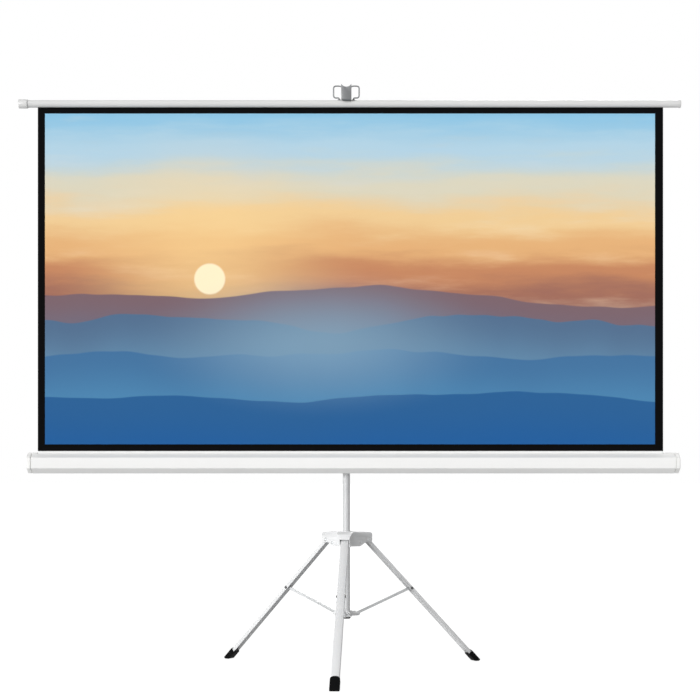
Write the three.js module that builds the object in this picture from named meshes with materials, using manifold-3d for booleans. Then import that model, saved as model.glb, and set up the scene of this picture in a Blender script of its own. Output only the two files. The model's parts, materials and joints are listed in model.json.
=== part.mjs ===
// Tripod projection screen: a spring-roller screen in a hexagonal case, carried on a telescopic
// mast with a three-legged folding stand. Millimetres, +Z up. The viewer stands on the -Y side
// and +X is to the viewer's right. The mast axis is the working origin; the last lines move the
// whole object so that its origin is the middle of its footprint, on the floor.
import * as THREE from 'three';
import { mergeVertices } from 'three/addons/utils/BufferGeometryUtils.js';
import Module from 'manifold-3d';

const wasm = await Module();
wasm.setup();

// Fits
const SLIDE_GAP = 0.3;
const SEAT_GAP = 0.3;

// Mast
const MAST_DIAMETER = 32;
const MAST_WALL = 1.6;
const MAST_LOW_END = 230;
const MAST_HIGH_END = 1500;
const MAST_PLUG_HEAD = 6;
const MAST_PLUG_LIP = 3;
const MAST_PLUG_DEPTH = 20;
const EXTENSION_DIAMETER = 25;
const EXTENSION_WALL = 1.4;
const EXTENSION_OVERLAP = 250;
const BUSH_LENGTH = 46;
const BUSH_BASE = 4;
const BUSH_BORE_DIAMETER = 18;
const LOCK_COLLAR_WALL = 5;
const LOCK_COLLAR_BELOW = 40;
const LOCK_COLLAR_ABOVE = 28;
const TOP_PLUG_HEAD = 4;
const TOP_PLUG_DEPTH = 24;

// Stand
const STAND_TURN = THREE.MathUtils.degToRad(-4);
const HUB_PIVOT_RADIUS = 98;
const HUB_PIVOT_HEIGHT = 573;
const STRUT_PIVOT_RADIUS = 321;
const STRUT_PIVOT_HEIGHT = 349;
const SPIDER_PIVOT_RADIUS = 50;
const SPIDER_PIVOT_HEIGHT = 246;
const LEG_WEB_WIDTH = 32.5;
const LEG_DEPTH = 16;
const LEG_WALL = 1.6;
const LEG_CREASE = 1.2;
const LEG_FLARE = THREE.MathUtils.degToRad(8);
const LEG_TOP_ROUND = 15;
const BOOT_WALL = 2;
const BOOT_SOLE = 9;
const BOOT_LENGTH = 48;
const BOOT_ARCH = 14;
const BOOT_TOE = 24;
const HUB_PIN_DIAMETER = 8;
const STRUT_PIN_DIAMETER = 6;
const RIVET_HEAD_HEIGHT = 2.5;
const RIVET_HEAD_OVERHANG = 3.5;
const STRUT_HEIGHT = 12;
const STRUT_THICKNESS = 4;
const STRUT_EYE_WALL = 2.6;
const HUB_WALL = 3;
const HUB_SIDE_PLAY = 1;
const HUB_NOSE_WALL = 3;
const HUB_NOSE_PLAY = 2;
const HUB_NOSE_LIFT = 14;
const HUB_BROW_HALF = 37;
const HUB_BROW_DEPTH = 24;
const HUB_COLLAR_WALL = 11;
const HUB_COLLAR_RISE = 39;
const HUB_SKIRT_DROP = 29;
const HUB_SKIRT_REACH = 58;
const HUB_CHEEK_DROP = 12;
const HUB_CHEEK_REACH = 85;
const HUB_POCKET_START = 40;
const HUB_MOUTH_RISE = 6;
const HUB_RIVET_DIAMETER = 6;
const HUB_RIVET_RADIUS = 62;
const HUB_RIVET_DROP = 12;
const SPIDER_WALL = 8;
const SPIDER_HEIGHT = 27;
const SPIDER_RISE = 3;
const EAR_WALL = 3;
const EAR_ROUND = 9;
const EAR_BOSS_DIAMETER = 9;
const EAR_BOSS_HEIGHT = 2;

// Clamp knobs
const KNOB_LOBES = 5;
const KNOB_RADIUS = 19;
const KNOB_LOBE_DEPTH = 2.5;
const KNOB_THICKNESS = 16;
const KNOB_NECK_DIAMETER = 18;
const KNOB_NECK_LENGTH = 6;
const KNOB_STUD_DIAMETER = 8;
const KNOB_BOSS_DIAMETER = 20;
const KNOB_BOSS_LENGTH = 16;

// Carrier and case pivot
const PIVOT_HEIGHT = 914;
const CARRIER_WALL = 6;
const CARRIER_HEIGHT = 60;
const PIVOT_BOSS_DIAMETER = 36;
const PIVOT_BOSS_LENGTH = 9;
const PIVOT_BOLT_DIAMETER = 10;
const PIVOT_BOLT_HEAD_DIAMETER = 18;
const PIVOT_BOLT_HEAD_HEIGHT = 6;
const PIVOT_BOLT_TIP_GAP = 1;
const WASHER_DIAMETER = 28;
const WASHER_THICKNESS = 1.5;
const BRACKET_SHEET = 3;
const BRACKET_HEIGHT = 42;
const BRACKET_HAT_WIDTH = 80;
const BRACKET_FLANGE = 26;
const BRACKET_SCREW_SPREAD = 26;
const SCREW_DIAMETER = 5;
const SCREW_HEAD_DIAMETER = 9.5;
const SCREW_HEAD_HEIGHT = 3;
const SCREW_REACH = 2;

// Case and roller
const FABRIC_WIDTH = 2739;
const FABRIC_EDGE_GAP = 3.5;
const SCREEN_SHIFT = 18;
const CASE_SHIFT = 12.6;
const CASE_SETBACK = 80;
const CASE_DEPTH = 80;
const CASE_WALL = 1;
const CASE_MARGIN = 36.5;
const CASE_LENGTH = FABRIC_WIDTH + 2 * CASE_MARGIN;
const SLOT_WIDTH = 7;
const CAP_THICKNESS = 21;
const JOURNAL_BOSS_DEPTH = 15;
const CAP_SPIGOT_WALL = 4;
const CAP_FLOOR = 4;
const JOURNAL_DIAMETER = 12;
const JOURNAL_BOSS_WALL = 5;
const JOURNAL_REACH = 22;
const CAP_SCREW_INSET = 8;
const ROLLER_OFFSET = 12;
const ROLLER_DIAMETER = 34;
const ROLLER_WALL = 1.2;
const ROLLER_END_PLAY = 3;
const ROLLER_PLUG_DEPTH = 30;
const ROLLER_PLUG_FLANGE = 3;
const WRAP_THICKNESS = 1.9;
const SPRING_TURNS = 16;
const SPRING_LENGTH = 190;
const SPRING_DIAMETER = 21;
const SPRING_WIRE = 2.4;
const ARBOR_DIAMETER = 11;
const ARBOR_DISC_DIAMETER = 26;
const ARBOR_DISC_THICKNESS = 5;

// Fabric and top bar
const FABRIC_THICKNESS = 1;
const FABRIC_BEAD_DIAMETER = 8;
const BAR_HEIGHT = 2487;
const BAR_DIAMETER = 32;
const BAR_WALL = 1.2;
const BAR_OVERHANG = 66.5;
const BAR_LENGTH = FABRIC_WIDTH + 2 * BAR_OVERHANG;
const BAR_SLOT = 4;
const FERRULE_DIAMETER = 40;
const FERRULE_LENGTH = 39;
const FERRULE_END = 16;
const FERRULE_CHAMFER = 2;
const END_PLUG_DIAMETER = 35;
const END_PLUG_FLANGE = 10;
const END_PLUG_DEPTH = 30;
const END_PLUG_CHAMFER = 3;

// Handle and hook
const WIRE_DIAMETER = 6;
const HANDLE_WIDTH = 118;
const HANDLE_FOOT_SPREAD = 62;
const HANDLE_TOP_RISE = 62;
const HANDLE_SHOULDER_RISE = 10;
const HANDLE_CORNER = 12;
const HANDLE_FOOT_CORNER = 7;
const HANDLE_FOOT_DEPTH = 9;
const HANDLE_DIP_TOP = 40;
const HANDLE_DIP_BOTTOM = 18;
const BUSHING_WALL = 1.5;
const BUSHING_FLANGE = 3;
const BUSHING_FLANGE_HEIGHT = 1.6;
const HOOK_WIDTH = 45;
const HOOK_SHEET = 3;
const HOOK_CURL = 7;
const HOOK_BAR_GAP = 7;
const HOOK_LIP_RISE = 53;
const HOOK_LIP_DISH = 11;
const HOOK_TAIL = 14;
const HOOK_CORNER = 9;
const HOOK_SCREW_DIAMETER = 6;
const HOOK_SCREW_HEAD_DIAMETER = 14;
const HOOK_SCREW_HEAD_HEIGHT = 4;
const HOOK_SCREW_REACH = 18;

// Facets
const ROUND_STEPS = 24;
const SMALL_STEPS = 12;
const ARC_STEPS = 8;
const LOBE_STEPS = 8;
const WIRE_STEPS = 76;
const WIRE_SIDES = 4;
const CURL_STEPS = 8;
const CURL_SIDES = 3;
const WELD = 1e-4;

// Finishes
const WHITE_PAINT = { color: 0xf1f1ef, roughness: 0.42, metalness: 0.05 };
const WHITE_PLASTIC = { color: 0xf3f3f1, roughness: 0.5, metalness: 0 };
const GREY_STEEL = { color: 0x9da1a2, roughness: 0.35, metalness: 0.85 };
const PALE_STEEL = { color: 0xc9cccc, roughness: 0.38, metalness: 0.75 };
const DARK_STEEL = { color: 0x55585a, roughness: 0.4, metalness: 0.8 };
const BLACK_RUBBER = { color: 0x111212, roughness: 0.75, metalness: 0 };
const BLACK_PLASTIC = { color: 0x1a1b1c, roughness: 0.55, metalness: 0 };
const SCREEN_CLOTH = { color: 0x1b1c20, roughness: 0.9, metalness: 0 };

// Values that follow from the sizes above
const mastRadius = MAST_DIAMETER / 2;
const mastBore = mastRadius - MAST_WALL;
const extensionRadius = EXTENSION_DIAMETER / 2;
const legReach = STRUT_PIVOT_RADIUS - HUB_PIVOT_RADIUS;
const legFall = HUB_PIVOT_HEIGHT - STRUT_PIVOT_HEIGHT;
const legSpread = Math.atan2(legReach, legFall);
const strutPivotDrop = Math.hypot(legReach, legFall);
const strutRun = STRUT_PIVOT_RADIUS - SPIDER_PIVOT_RADIUS;
const strutFall = STRUT_PIVOT_HEIGHT - SPIDER_PIVOT_HEIGHT;
const strutLength = Math.hypot(strutRun, strutFall);
const strutSpread = Math.atan2(strutRun, strutFall);
const legHalfDepth = LEG_DEPTH / 2;
const flareSlope = Math.tan(LEG_FLARE);
const legMouthHalf = LEG_WEB_WIDTH / 2 + LEG_DEPTH * flareSlope;
const strutEyeRadius = STRUT_PIN_DIAMETER / 2 + SLIDE_GAP + STRUT_EYE_WALL;
const strutEyeHalf = legHalfWidth(strutEyeRadius) - LEG_WALL / Math.cos(LEG_FLARE) - SLIDE_GAP;
const earGapHalf = strutEyeHalf + SLIDE_GAP;
const legEndDrop = (HUB_PIVOT_HEIGHT - BOOT_SOLE - legHalfDepth * Math.sin(legSpread)) / Math.cos(legSpread);
const hubInnerHalf = legMouthHalf + HUB_SIDE_PLAY;
const hubOuterHalf = hubInnerHalf + HUB_WALL;
const hubPocketRound = LEG_TOP_ROUND + HUB_NOSE_PLAY;
const hubNoseRound = hubPocketRound + HUB_NOSE_WALL;
const hubCollarRadius = mastRadius + HUB_COLLAR_WALL;
const hubTop = HUB_PIVOT_HEIGHT + HUB_COLLAR_RISE;
const caseHalf = CASE_LENGTH / 2;
const caseY = -CASE_SETBACK;
const caseRearY = caseY + CASE_DEPTH / 2;
const rollerY = caseY + ROLLER_OFFSET;
const rollRadius = ROLLER_DIAMETER / 2 + SEAT_GAP + WRAP_THICKNESS;
const rollerHalf = caseHalf - JOURNAL_BOSS_DEPTH - ROLLER_END_PLAY - ROLLER_PLUG_FLANGE;
const fabricY = rollerY - rollRadius - SEAT_GAP - FABRIC_THICKNESS / 2;
const barRadius = BAR_DIAMETER / 2;
const barTop = BAR_HEIGHT + barRadius;
const hookFloor = barTop + HOOK_BAR_GAP;
const hookSeat = hookFloor + HOOK_SHEET;
const limbs = [
  { side: 'front', turn: -Math.PI / 2 + STAND_TURN },
  { side: 'right', turn: Math.PI / 6 + STAND_TURN },
  { side: 'left', turn: (5 * Math.PI) / 6 + STAND_TURN },
];

// Half the outer width of a leg channel, at a distance from its middle towards its web
function legHalfWidth(towardsWeb) {
  return LEG_WEB_WIDTH / 2 + (legHalfDepth - towardsWeb) * flareSlope;
}

// Closed solids joined and cut
function toSolid(geometry) {
  const bare = new THREE.BufferGeometry();
  bare.setAttribute('position', geometry.getAttribute('position').clone());
  if (geometry.index) bare.setIndex(geometry.index.clone());
  const welded = mergeVertices(bare, WELD);
  const place = welded.getAttribute('position');
  const corners = [0, 1, 2].map(() => new THREE.Vector3());
  const kept = [];
  let volume = 0;
  for (let i = 0; i < welded.index.count; i += 3) {
    const ids = [0, 1, 2].map((k) => welded.index.getX(i + k));
    if (new Set(ids).size < 3) continue;
    ids.forEach((id, k) => corners[k].fromBufferAttribute(place, id));
    volume += corners[0].dot(corners[1].clone().cross(corners[2]));
    kept.push(ids);
  }
  const facing = volume < 0 ? kept.map(([a, b, c]) => [a, c, b]) : kept;
  return new wasm.Manifold(new wasm.Mesh({
    numProp: 3,
    vertProperties: new Float32Array(place.array),
    triVerts: new Uint32Array(facing.flat()),
  }));
}

function toGeometry(solid) {
  const mesh = solid.getMesh();
  const geometry = new THREE.BufferGeometry();
  geometry.setAttribute('position', new THREE.BufferAttribute(new Float32Array(mesh.vertProperties), 3));
  geometry.setIndex(new THREE.BufferAttribute(new Uint32Array(mesh.triVerts), 1));
  return geometry;
}

function join(first, ...others) {
  return toGeometry(others.reduce((sum, other) => sum.add(toSolid(other)), toSolid(first)));
}

function cut(first, ...tools) {
  return toGeometry(tools.reduce((rest, tool) => rest.subtract(toSolid(tool)), toSolid(first)));
}

function meet(first, ...others) {
  return toGeometry(others.reduce((rest, other) => rest.intersect(toSolid(other)), toSolid(first)));
}

// Basic forms, each along a named axis
const unit = {
  x: new THREE.Vector3(1, 0, 0),
  y: new THREE.Vector3(0, 1, 0),
  z: new THREE.Vector3(0, 0, 1),
};

// The low and high ends of a stretch on one side of zero
function span(hand, from, to) {
  return [hand * from, hand * to].sort((a, b) => a - b);
}

function box(x, y, z) {
  const form = new THREE.BoxGeometry(x[1] - x[0], y[1] - y[0], z[1] - z[0]);
  return form.translate((x[0] + x[1]) / 2, (y[0] + y[1]) / 2, (z[0] + z[1]) / 2);
}

// An outline drawn in (y, z), (x, z) or (x, y), carried along x, y or z
function prism(axis, shape, from, to, steps = ARC_STEPS) {
  const options = { depth: to - from, bevelEnabled: false, curveSegments: steps };
  const form = new THREE.ExtrudeGeometry(shape, options);
  const frame = new THREE.Matrix4();
  if (axis === 'x') frame.makeBasis(unit.y, unit.z, unit.x).setPosition(from, 0, 0);
  if (axis === 'y') frame.makeBasis(unit.x, unit.z, unit.y.clone().negate()).setPosition(0, to, 0);
  if (axis === 'z') frame.setPosition(0, 0, from);
  return form.applyMatrix4(frame);
}

// A profile of [radius, place along the axis] points, turned round the axis
function turned(axis, profile, steps = ROUND_STEPS) {
  const points = profile.map(([radius, along]) => new THREE.Vector2(radius, along));
  if (profile[0][0] > 0) points.push(points[0].clone());
  const form = new THREE.LatheGeometry(points, steps);
  const frame = new THREE.Matrix4();
  if (axis === 'x') frame.makeBasis(unit.y, unit.x, unit.z.clone().negate());
  if (axis === 'z') frame.makeBasis(unit.x, unit.z, unit.y.clone().negate());
  return form.applyMatrix4(frame);
}

function rod(axis, radius, from, to, steps = ROUND_STEPS) {
  return turned(axis, [[0, from], [radius, from], [radius, to], [0, to]], steps);
}

function ring(axis, outer, inner, from, to, steps = ROUND_STEPS) {
  return turned(axis, [[inner, from], [outer, from], [outer, to], [inner, to]], steps);
}

// A headed pin: a round head at each end of a shank that lies along y
function rivet(diameter, grip, steps = SMALL_STEPS) {
  const shank = diameter / 2;
  const head = shank + RIVET_HEAD_OVERHANG;
  const end = grip + RIVET_HEAD_HEIGHT;
  const crown = head - RIVET_HEAD_HEIGHT / 2;
  return turned('y', [
    [0, -end], [crown, -end], [head, -grip - RIVET_HEAD_HEIGHT / 2], [head, -grip], [shank, -grip],
    [shank, grip], [head, grip], [head, grip + RIVET_HEAD_HEIGHT / 2], [crown, end], [0, end],
  ], steps);
}

// A pan-headed screw along y, its head from zero towards +y
function screw(diameter, headDiameter, headHeight, reach, steps = SMALL_STEPS) {
  const shank = diameter / 2;
  const head = headDiameter / 2;
  return turned('y', [
    [0, -reach], [shank, -reach], [shank, 0], [head, 0], [head, headHeight / 2],
    [head - headHeight / 2, headHeight], [0, headHeight],
  ], steps);
}

function tubeAlong(curve, radius, steps, sides) {
  const section = new THREE.Shape();
  section.absarc(0, 0, radius, 0, Math.PI * 2, false);
  const options = { steps, extrudePath: curve, curveSegments: sides, bevelEnabled: false };
  return new THREE.ExtrudeGeometry(section, options);
}

// A path of straight runs, each corner rounded by its own size
function roundedPath(points, corners) {
  const path = new THREE.CurvePath();
  let start = points[0];
  for (let i = 1; i < points.length - 1; i += 1) {
    const back = points[i - 1].clone().sub(points[i]);
    const ahead = points[i + 1].clone().sub(points[i]);
    const trim = Math.min(corners[i], back.length() / 2, ahead.length() / 2);
    const enter = points[i].clone().add(back.setLength(trim));
    const leave = points[i].clone().add(ahead.setLength(trim));
    path.add(new THREE.LineCurve3(start, enter));
    path.add(new THREE.QuadraticBezierCurve3(enter, points[i], leave));
    start = leave;
  }
  path.add(new THREE.LineCurve3(start, points[points.length - 1]));
  return path;
}

function polygon(points) {
  return new THREE.Shape(points.map(([u, v]) => new THREE.Vector2(u, v)));
}

// Scene graph
const screen = new THREE.Group();

function place(parent, name, at = [0, 0, 0], turn = [0, 0, 0]) {
  const group = new THREE.Group();
  group.name = name;
  group.position.set(...at);
  group.rotation.set(...turn);
  parent.add(group);
  return group;
}

function add(parent, name, geometry, finish) {
  const mesh = new THREE.Mesh(toGeometry(toSolid(geometry)), new THREE.MeshStandardMaterial(finish));
  mesh.name = name;
  parent.add(mesh);
  return mesh;
}

// Mast: outer tube, foot plug, lock collar, sliding extension
function buildMast() {
  const extensionLow = MAST_HIGH_END - EXTENSION_OVERLAP;
  const extensionHigh = hookFloor - 2 * SEAT_GAP - TOP_PLUG_HEAD;
  const collarRadius = mastRadius + SEAT_GAP + LOCK_COLLAR_WALL;
  const knobHeight = MAST_HIGH_END + LOCK_COLLAR_ABOVE / 2;
  const knobFace = mastRadius + KNOB_BOSS_LENGTH;
  const plugFace = MAST_LOW_END - SEAT_GAP;
  const plugLow = MAST_LOW_END - MAST_PLUG_HEAD;
  const plugLip = mastRadius + MAST_PLUG_LIP;
  const plugShank = mastBore - SEAT_GAP;
  add(screen, 'mast_outer_tube',
    ring('z', mastRadius, mastBore, MAST_LOW_END, MAST_HIGH_END), WHITE_PAINT);
  add(screen, 'mast_bottom_plug', turned('z', [
    [0, plugLow], [mastRadius, plugLow], [plugLip, plugLow + MAST_PLUG_HEAD / 2],
    [plugLip, plugFace], [plugShank, plugFace],
    [plugShank, MAST_LOW_END + MAST_PLUG_DEPTH], [0, MAST_LOW_END + MAST_PLUG_DEPTH],
  ]), BLACK_PLASTIC);

  const collarLow = MAST_HIGH_END - LOCK_COLLAR_BELOW;
  const collarHigh = MAST_HIGH_END + LOCK_COLLAR_ABOVE;
  const collarStep = MAST_HIGH_END + SEAT_GAP;
  const collarSocket = mastRadius + SEAT_GAP;
  const collarBore = extensionRadius + SLIDE_GAP;
  const collar = turned('z', [
    [collarSocket, collarLow], [collarRadius, collarLow], [collarRadius, collarHigh],
    [collarBore, collarHigh], [collarBore, collarStep], [collarSocket, collarStep],
  ]);
  add(screen, 'mast_lock_collar', bossed(collar, knobHeight, collarBore, knobFace), BLACK_PLASTIC);
  const knobSeat = place(screen, 'mast_knob_seat', [0, knobFace, knobHeight], [-Math.PI / 2, 0, 0]);
  add(knobSeat, 'mast_lock_knob', knob(knobFace - extensionRadius - SEAT_GAP), BLACK_PLASTIC);

  add(screen, 'mast_inner_tube',
    ring('z', extensionRadius, extensionRadius - EXTENSION_WALL, extensionLow, extensionHigh), PALE_STEEL);
  const bushSeat = extensionLow - SEAT_GAP;
  const bushBore = BUSH_BORE_DIAMETER / 2;
  const bushRadius = mastBore - SLIDE_GAP;
  const bushSocket = extensionRadius + SEAT_GAP;
  add(screen, 'extension_bush', turned('z', [
    [bushBore, bushSeat - BUSH_BASE], [bushRadius, bushSeat - BUSH_BASE],
    [bushRadius, extensionLow + BUSH_LENGTH], [bushSocket, extensionLow + BUSH_LENGTH],
    [bushSocket, bushSeat], [bushBore, bushSeat],
  ]), BLACK_PLASTIC);
  const plugBore = HOOK_SCREW_DIAMETER / 2 + SEAT_GAP;
  const plugBody = extensionRadius - EXTENSION_WALL - SEAT_GAP;
  const plugTail = extensionHigh - TOP_PLUG_DEPTH;
  const plugSeat = extensionHigh + SEAT_GAP;
  add(screen, 'mast_top_plug', turned('z', [
    [plugBore, plugTail], [plugBody, plugTail], [plugBody, plugSeat], [extensionRadius, plugSeat],
    [extensionRadius, plugSeat + TOP_PLUG_HEAD], [plugBore, plugSeat + TOP_PLUG_HEAD],
  ]), BLACK_PLASTIC);
}

// A sleeve with a knob boss on its rear side, bored for the knob's stud
function bossed(sleeve, height, bore, face) {
  const boss = rod('y', KNOB_BOSS_DIAMETER / 2, 0, face - SEAT_GAP);
  const core = rod('z', bore, height - KNOB_BOSS_DIAMETER, height + KNOB_BOSS_DIAMETER);
  const stud = rod('y', KNOB_STUD_DIAMETER / 2 + SLIDE_GAP, 0, face + SEAT_GAP, SMALL_STEPS);
  return cut(join(sleeve, cut(boss.translate(0, 0, height), core)), stud.translate(0, 0, height));
}

// A lobed clamp knob: its stud points to -z and its neck stands on z = 0
function knob(studLength) {
  const rim = [];
  const rimSteps = KNOB_LOBES * LOBE_STEPS;
  for (let i = 0; i < rimSteps; i += 1) {
    const angle = (i / rimSteps) * Math.PI * 2;
    const radius = KNOB_RADIUS - (KNOB_LOBE_DEPTH * (1 - Math.cos(KNOB_LOBES * angle))) / 2;
    rim.push([radius * Math.cos(angle), radius * Math.sin(angle)]);
  }
  const head = prism('z', polygon(rim), KNOB_NECK_LENGTH, KNOB_NECK_LENGTH + KNOB_THICKNESS);
  const neck = rod('z', KNOB_NECK_DIAMETER / 2, 0, KNOB_NECK_LENGTH + KNOB_THICKNESS / 2);
  const stud = rod('z', KNOB_STUD_DIAMETER / 2, -studLength, KNOB_NECK_LENGTH, SMALL_STEPS);
  return join(head, neck, stud);
}

// Hub: a collar that slides on the mast, with three hollow arms for the leg tops
function buildHub() {
  const floor = HUB_PIVOT_HEIGHT - HUB_SKIRT_DROP;
  const cheek = HUB_PIVOT_HEIGHT - HUB_CHEEK_DROP;
  const crown = HUB_PIVOT_HEIGHT + HUB_NOSE_LIFT;
  const cheekAngle = Math.asin(HUB_CHEEK_DROP / hubNoseRound);
  const arm = polygon([[0, floor], [HUB_SKIRT_REACH, floor], [HUB_CHEEK_REACH, cheek]]);
  arm.absarc(HUB_PIVOT_RADIUS, HUB_PIVOT_HEIGHT, hubNoseRound, -cheekAngle, 0, false);
  arm.absarc(HUB_PIVOT_RADIUS, crown, hubNoseRound, 0, Math.PI / 2, false);
  arm.lineTo(hubCollarRadius, hubTop - HUB_NOSE_WALL);
  arm.lineTo(0, hubTop - HUB_NOSE_WALL);
  const mouth = HUB_PIVOT_HEIGHT + HUB_MOUTH_RISE;
  const beyond = HUB_PIVOT_RADIUS + 2 * hubNoseRound;
  const pocket = polygon([
    [HUB_POCKET_START, floor - hubNoseRound], [beyond, floor - hubNoseRound], [beyond, mouth],
    [HUB_PIVOT_RADIUS + hubPocketRound, mouth],
  ]);
  pocket.absarc(HUB_PIVOT_RADIUS, crown, hubPocketRound, 0, Math.PI / 2, false);
  pocket.lineTo(HUB_POCKET_START, crown + hubPocketRound);

  const underside = floor - hubNoseRound;
  const trims = [-1, 1].map((hand) => prism('x', polygon([
    [hand * HUB_BROW_HALF, hubTop], [hand * hubOuterHalf, hubTop - HUB_BROW_DEPTH],
    [hand * hubOuterHalf, underside], [hand * 2 * HUB_BROW_HALF, underside],
    [hand * 2 * HUB_BROW_HALF, hubTop],
  ]), -beyond, beyond));
  const flared = cut(prism('y', arm, -HUB_BROW_HALF, HUB_BROW_HALF), ...trims);

  const solids = [];
  const cuts = [];
  for (const { turn } of limbs) {
    const rivetHeight = HUB_PIVOT_HEIGHT - HUB_RIVET_DROP;
    solids.push(flared.clone().rotateZ(turn));
    cuts.push(prism('y', pocket, -hubInnerHalf, hubInnerHalf).rotateZ(turn));
    cuts.push(rod('y', HUB_PIN_DIAMETER / 2 + SLIDE_GAP, -2 * hubOuterHalf, 2 * hubOuterHalf, SMALL_STEPS)
      .translate(HUB_PIVOT_RADIUS, 0, HUB_PIVOT_HEIGHT).rotateZ(turn));
    cuts.push(rod('y', HUB_RIVET_DIAMETER / 2 + SEAT_GAP, -2 * hubOuterHalf, 2 * hubOuterHalf, SMALL_STEPS)
      .translate(HUB_RIVET_RADIUS, 0, rivetHeight).rotateZ(turn));
  }
  const knobHeight = (floor + hubTop) / 2;
  const knobFace = hubCollarRadius + KNOB_BOSS_LENGTH;
  const sleeve = ring('z', hubCollarRadius, mastRadius + SLIDE_GAP, floor, hubTop);
  const boss = rod('y', KNOB_BOSS_DIAMETER / 2, 0, knobFace - SEAT_GAP)
    .translate(0, 0, knobHeight).rotateZ(STAND_TURN);
  const stud = rod('y', KNOB_STUD_DIAMETER / 2 + SLIDE_GAP, 0, knobFace + SEAT_GAP, SMALL_STEPS)
    .translate(0, 0, knobHeight).rotateZ(STAND_TURN);
  const bore = rod('z', mastRadius + SLIDE_GAP, floor - HUB_WALL, hubTop + HUB_WALL);
  add(screen, 'tripod_hub', cut(join(sleeve, ...solids, boss), bore, stud, ...cuts), WHITE_PAINT);

  for (const { side, turn } of limbs) {
    const limb = place(screen, `hub_limb_${side}`, [0, 0, 0], [0, 0, turn]);
    const pin = place(limb, `hub_pivot_${side}`, [HUB_PIVOT_RADIUS, 0, HUB_PIVOT_HEIGHT]);
    add(pin, `hub_pin_${side}`, rivet(HUB_PIN_DIAMETER, hubOuterHalf + SEAT_GAP), PALE_STEEL);
    const stay = place(limb, `hub_stay_${side}`, [HUB_RIVET_RADIUS, 0, HUB_PIVOT_HEIGHT - HUB_RIVET_DROP]);
    add(stay, `hub_rivet_${side}`, rivet(HUB_RIVET_DIAMETER, hubOuterHalf + SEAT_GAP), PALE_STEEL);
  }
  const turnSeat = place(screen, 'hub_knob_turn', [0, 0, 0], [0, 0, STAND_TURN]);
  const knobSeat = place(turnSeat, 'hub_knob_seat', [0, knobFace, knobHeight], [-Math.PI / 2, 0, 0]);
  add(knobSeat, 'hub_lock_knob', knob(knobFace - mastRadius - SEAT_GAP), BLACK_PLASTIC);
}

// One leg: a creased channel, open towards the mast, in the frame of its hub pivot
function legChannel() {
  const web = LEG_WEB_WIDTH / 2;
  const side = LEG_WALL / Math.cos(LEG_FLARE);
  const inner = legHalfDepth - LEG_WALL;
  const half = [
    [legHalfDepth + LEG_CREASE, 0], [legHalfDepth, web], [-legHalfDepth, legMouthHalf],
    [-legHalfDepth, legMouthHalf - side], [inner, legHalfWidth(inner) - side], [inner + LEG_CREASE, 0],
  ];
  const mirrored = half.slice(1, -1).reverse().map(([u, v]) => [u, -v]);
  const section = polygon([...half, ...mirrored]);
  const channel = prism('z', section, -legEndDrop, LEG_TOP_ROUND);
  return meet(channel, prism('x', topRounded(legMouthHalf), -LEG_DEPTH, LEG_DEPTH),
    prism('y', topRounded(LEG_TOP_ROUND), -LEG_WEB_WIDTH, LEG_WEB_WIDTH));
}

// A long strip whose top is a half circle or half ellipse about the pivot
function topRounded(half) {
  const outline = polygon([[-half, -2 * legEndDrop], [half, -2 * legEndDrop], [half, 0]]);
  outline.absellipse(0, 0, half, LEG_TOP_ROUND, 0, Math.PI, false, 0);
  return outline;
}

// The rubber boot on a leg's end: square at its toe, and cut flat by the floor
function boot() {
  const web = legHalfDepth + LEG_CREASE + SEAT_GAP;
  const side = legMouthHalf + SEAT_GAP;
  const top = BOOT_LENGTH - legEndDrop;
  const low = -legEndDrop - BOOT_TOE;
  const flank = side + BOOT_WALL;
  const outline = polygon([[-flank, low], [flank, low], [flank, top - BOOT_ARCH]]);
  outline.absellipse(0, top - BOOT_ARCH, flank, BOOT_ARCH, 0, Math.PI, false, 0);
  const body = prism('x', outline, -web - BOOT_WALL, web + BOOT_WALL);
  const pocket = box([-web, web], [-side, side], [-legEndDrop - SEAT_GAP, top + BOOT_LENGTH]);
  const ground = box([-legEndDrop, legEndDrop], [-legEndDrop, legEndDrop], [-2 * legEndDrop, 0]);
  const stand = new THREE.Matrix4().makeRotationY(-legSpread).setPosition(0, 0, HUB_PIVOT_HEIGHT);
  return cut(body, pocket, ground.applyMatrix4(stand.invert()));
}

// One strut: a flat bar with an eye barrel at each end, in the frame of its leg pivot
function strut() {
  const width = [-STRUT_HEIGHT / 2, STRUT_HEIGHT / 2];
  const bar = box(width, [-STRUT_THICKNESS / 2, STRUT_THICKNESS / 2], [-strutLength, 0]);
  const eye = rod('y', strutEyeRadius, -strutEyeHalf, strutEyeHalf, SMALL_STEPS);
  const bore = rod('y', STRUT_PIN_DIAMETER / 2 + SLIDE_GAP, -2 * strutEyeHalf, 2 * strutEyeHalf, SMALL_STEPS);
  const farEye = eye.clone().translate(0, 0, -strutLength);
  const farBore = bore.clone().translate(0, 0, -strutLength);
  return cut(join(bar, eye, farEye), bore, farBore);
}

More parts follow.
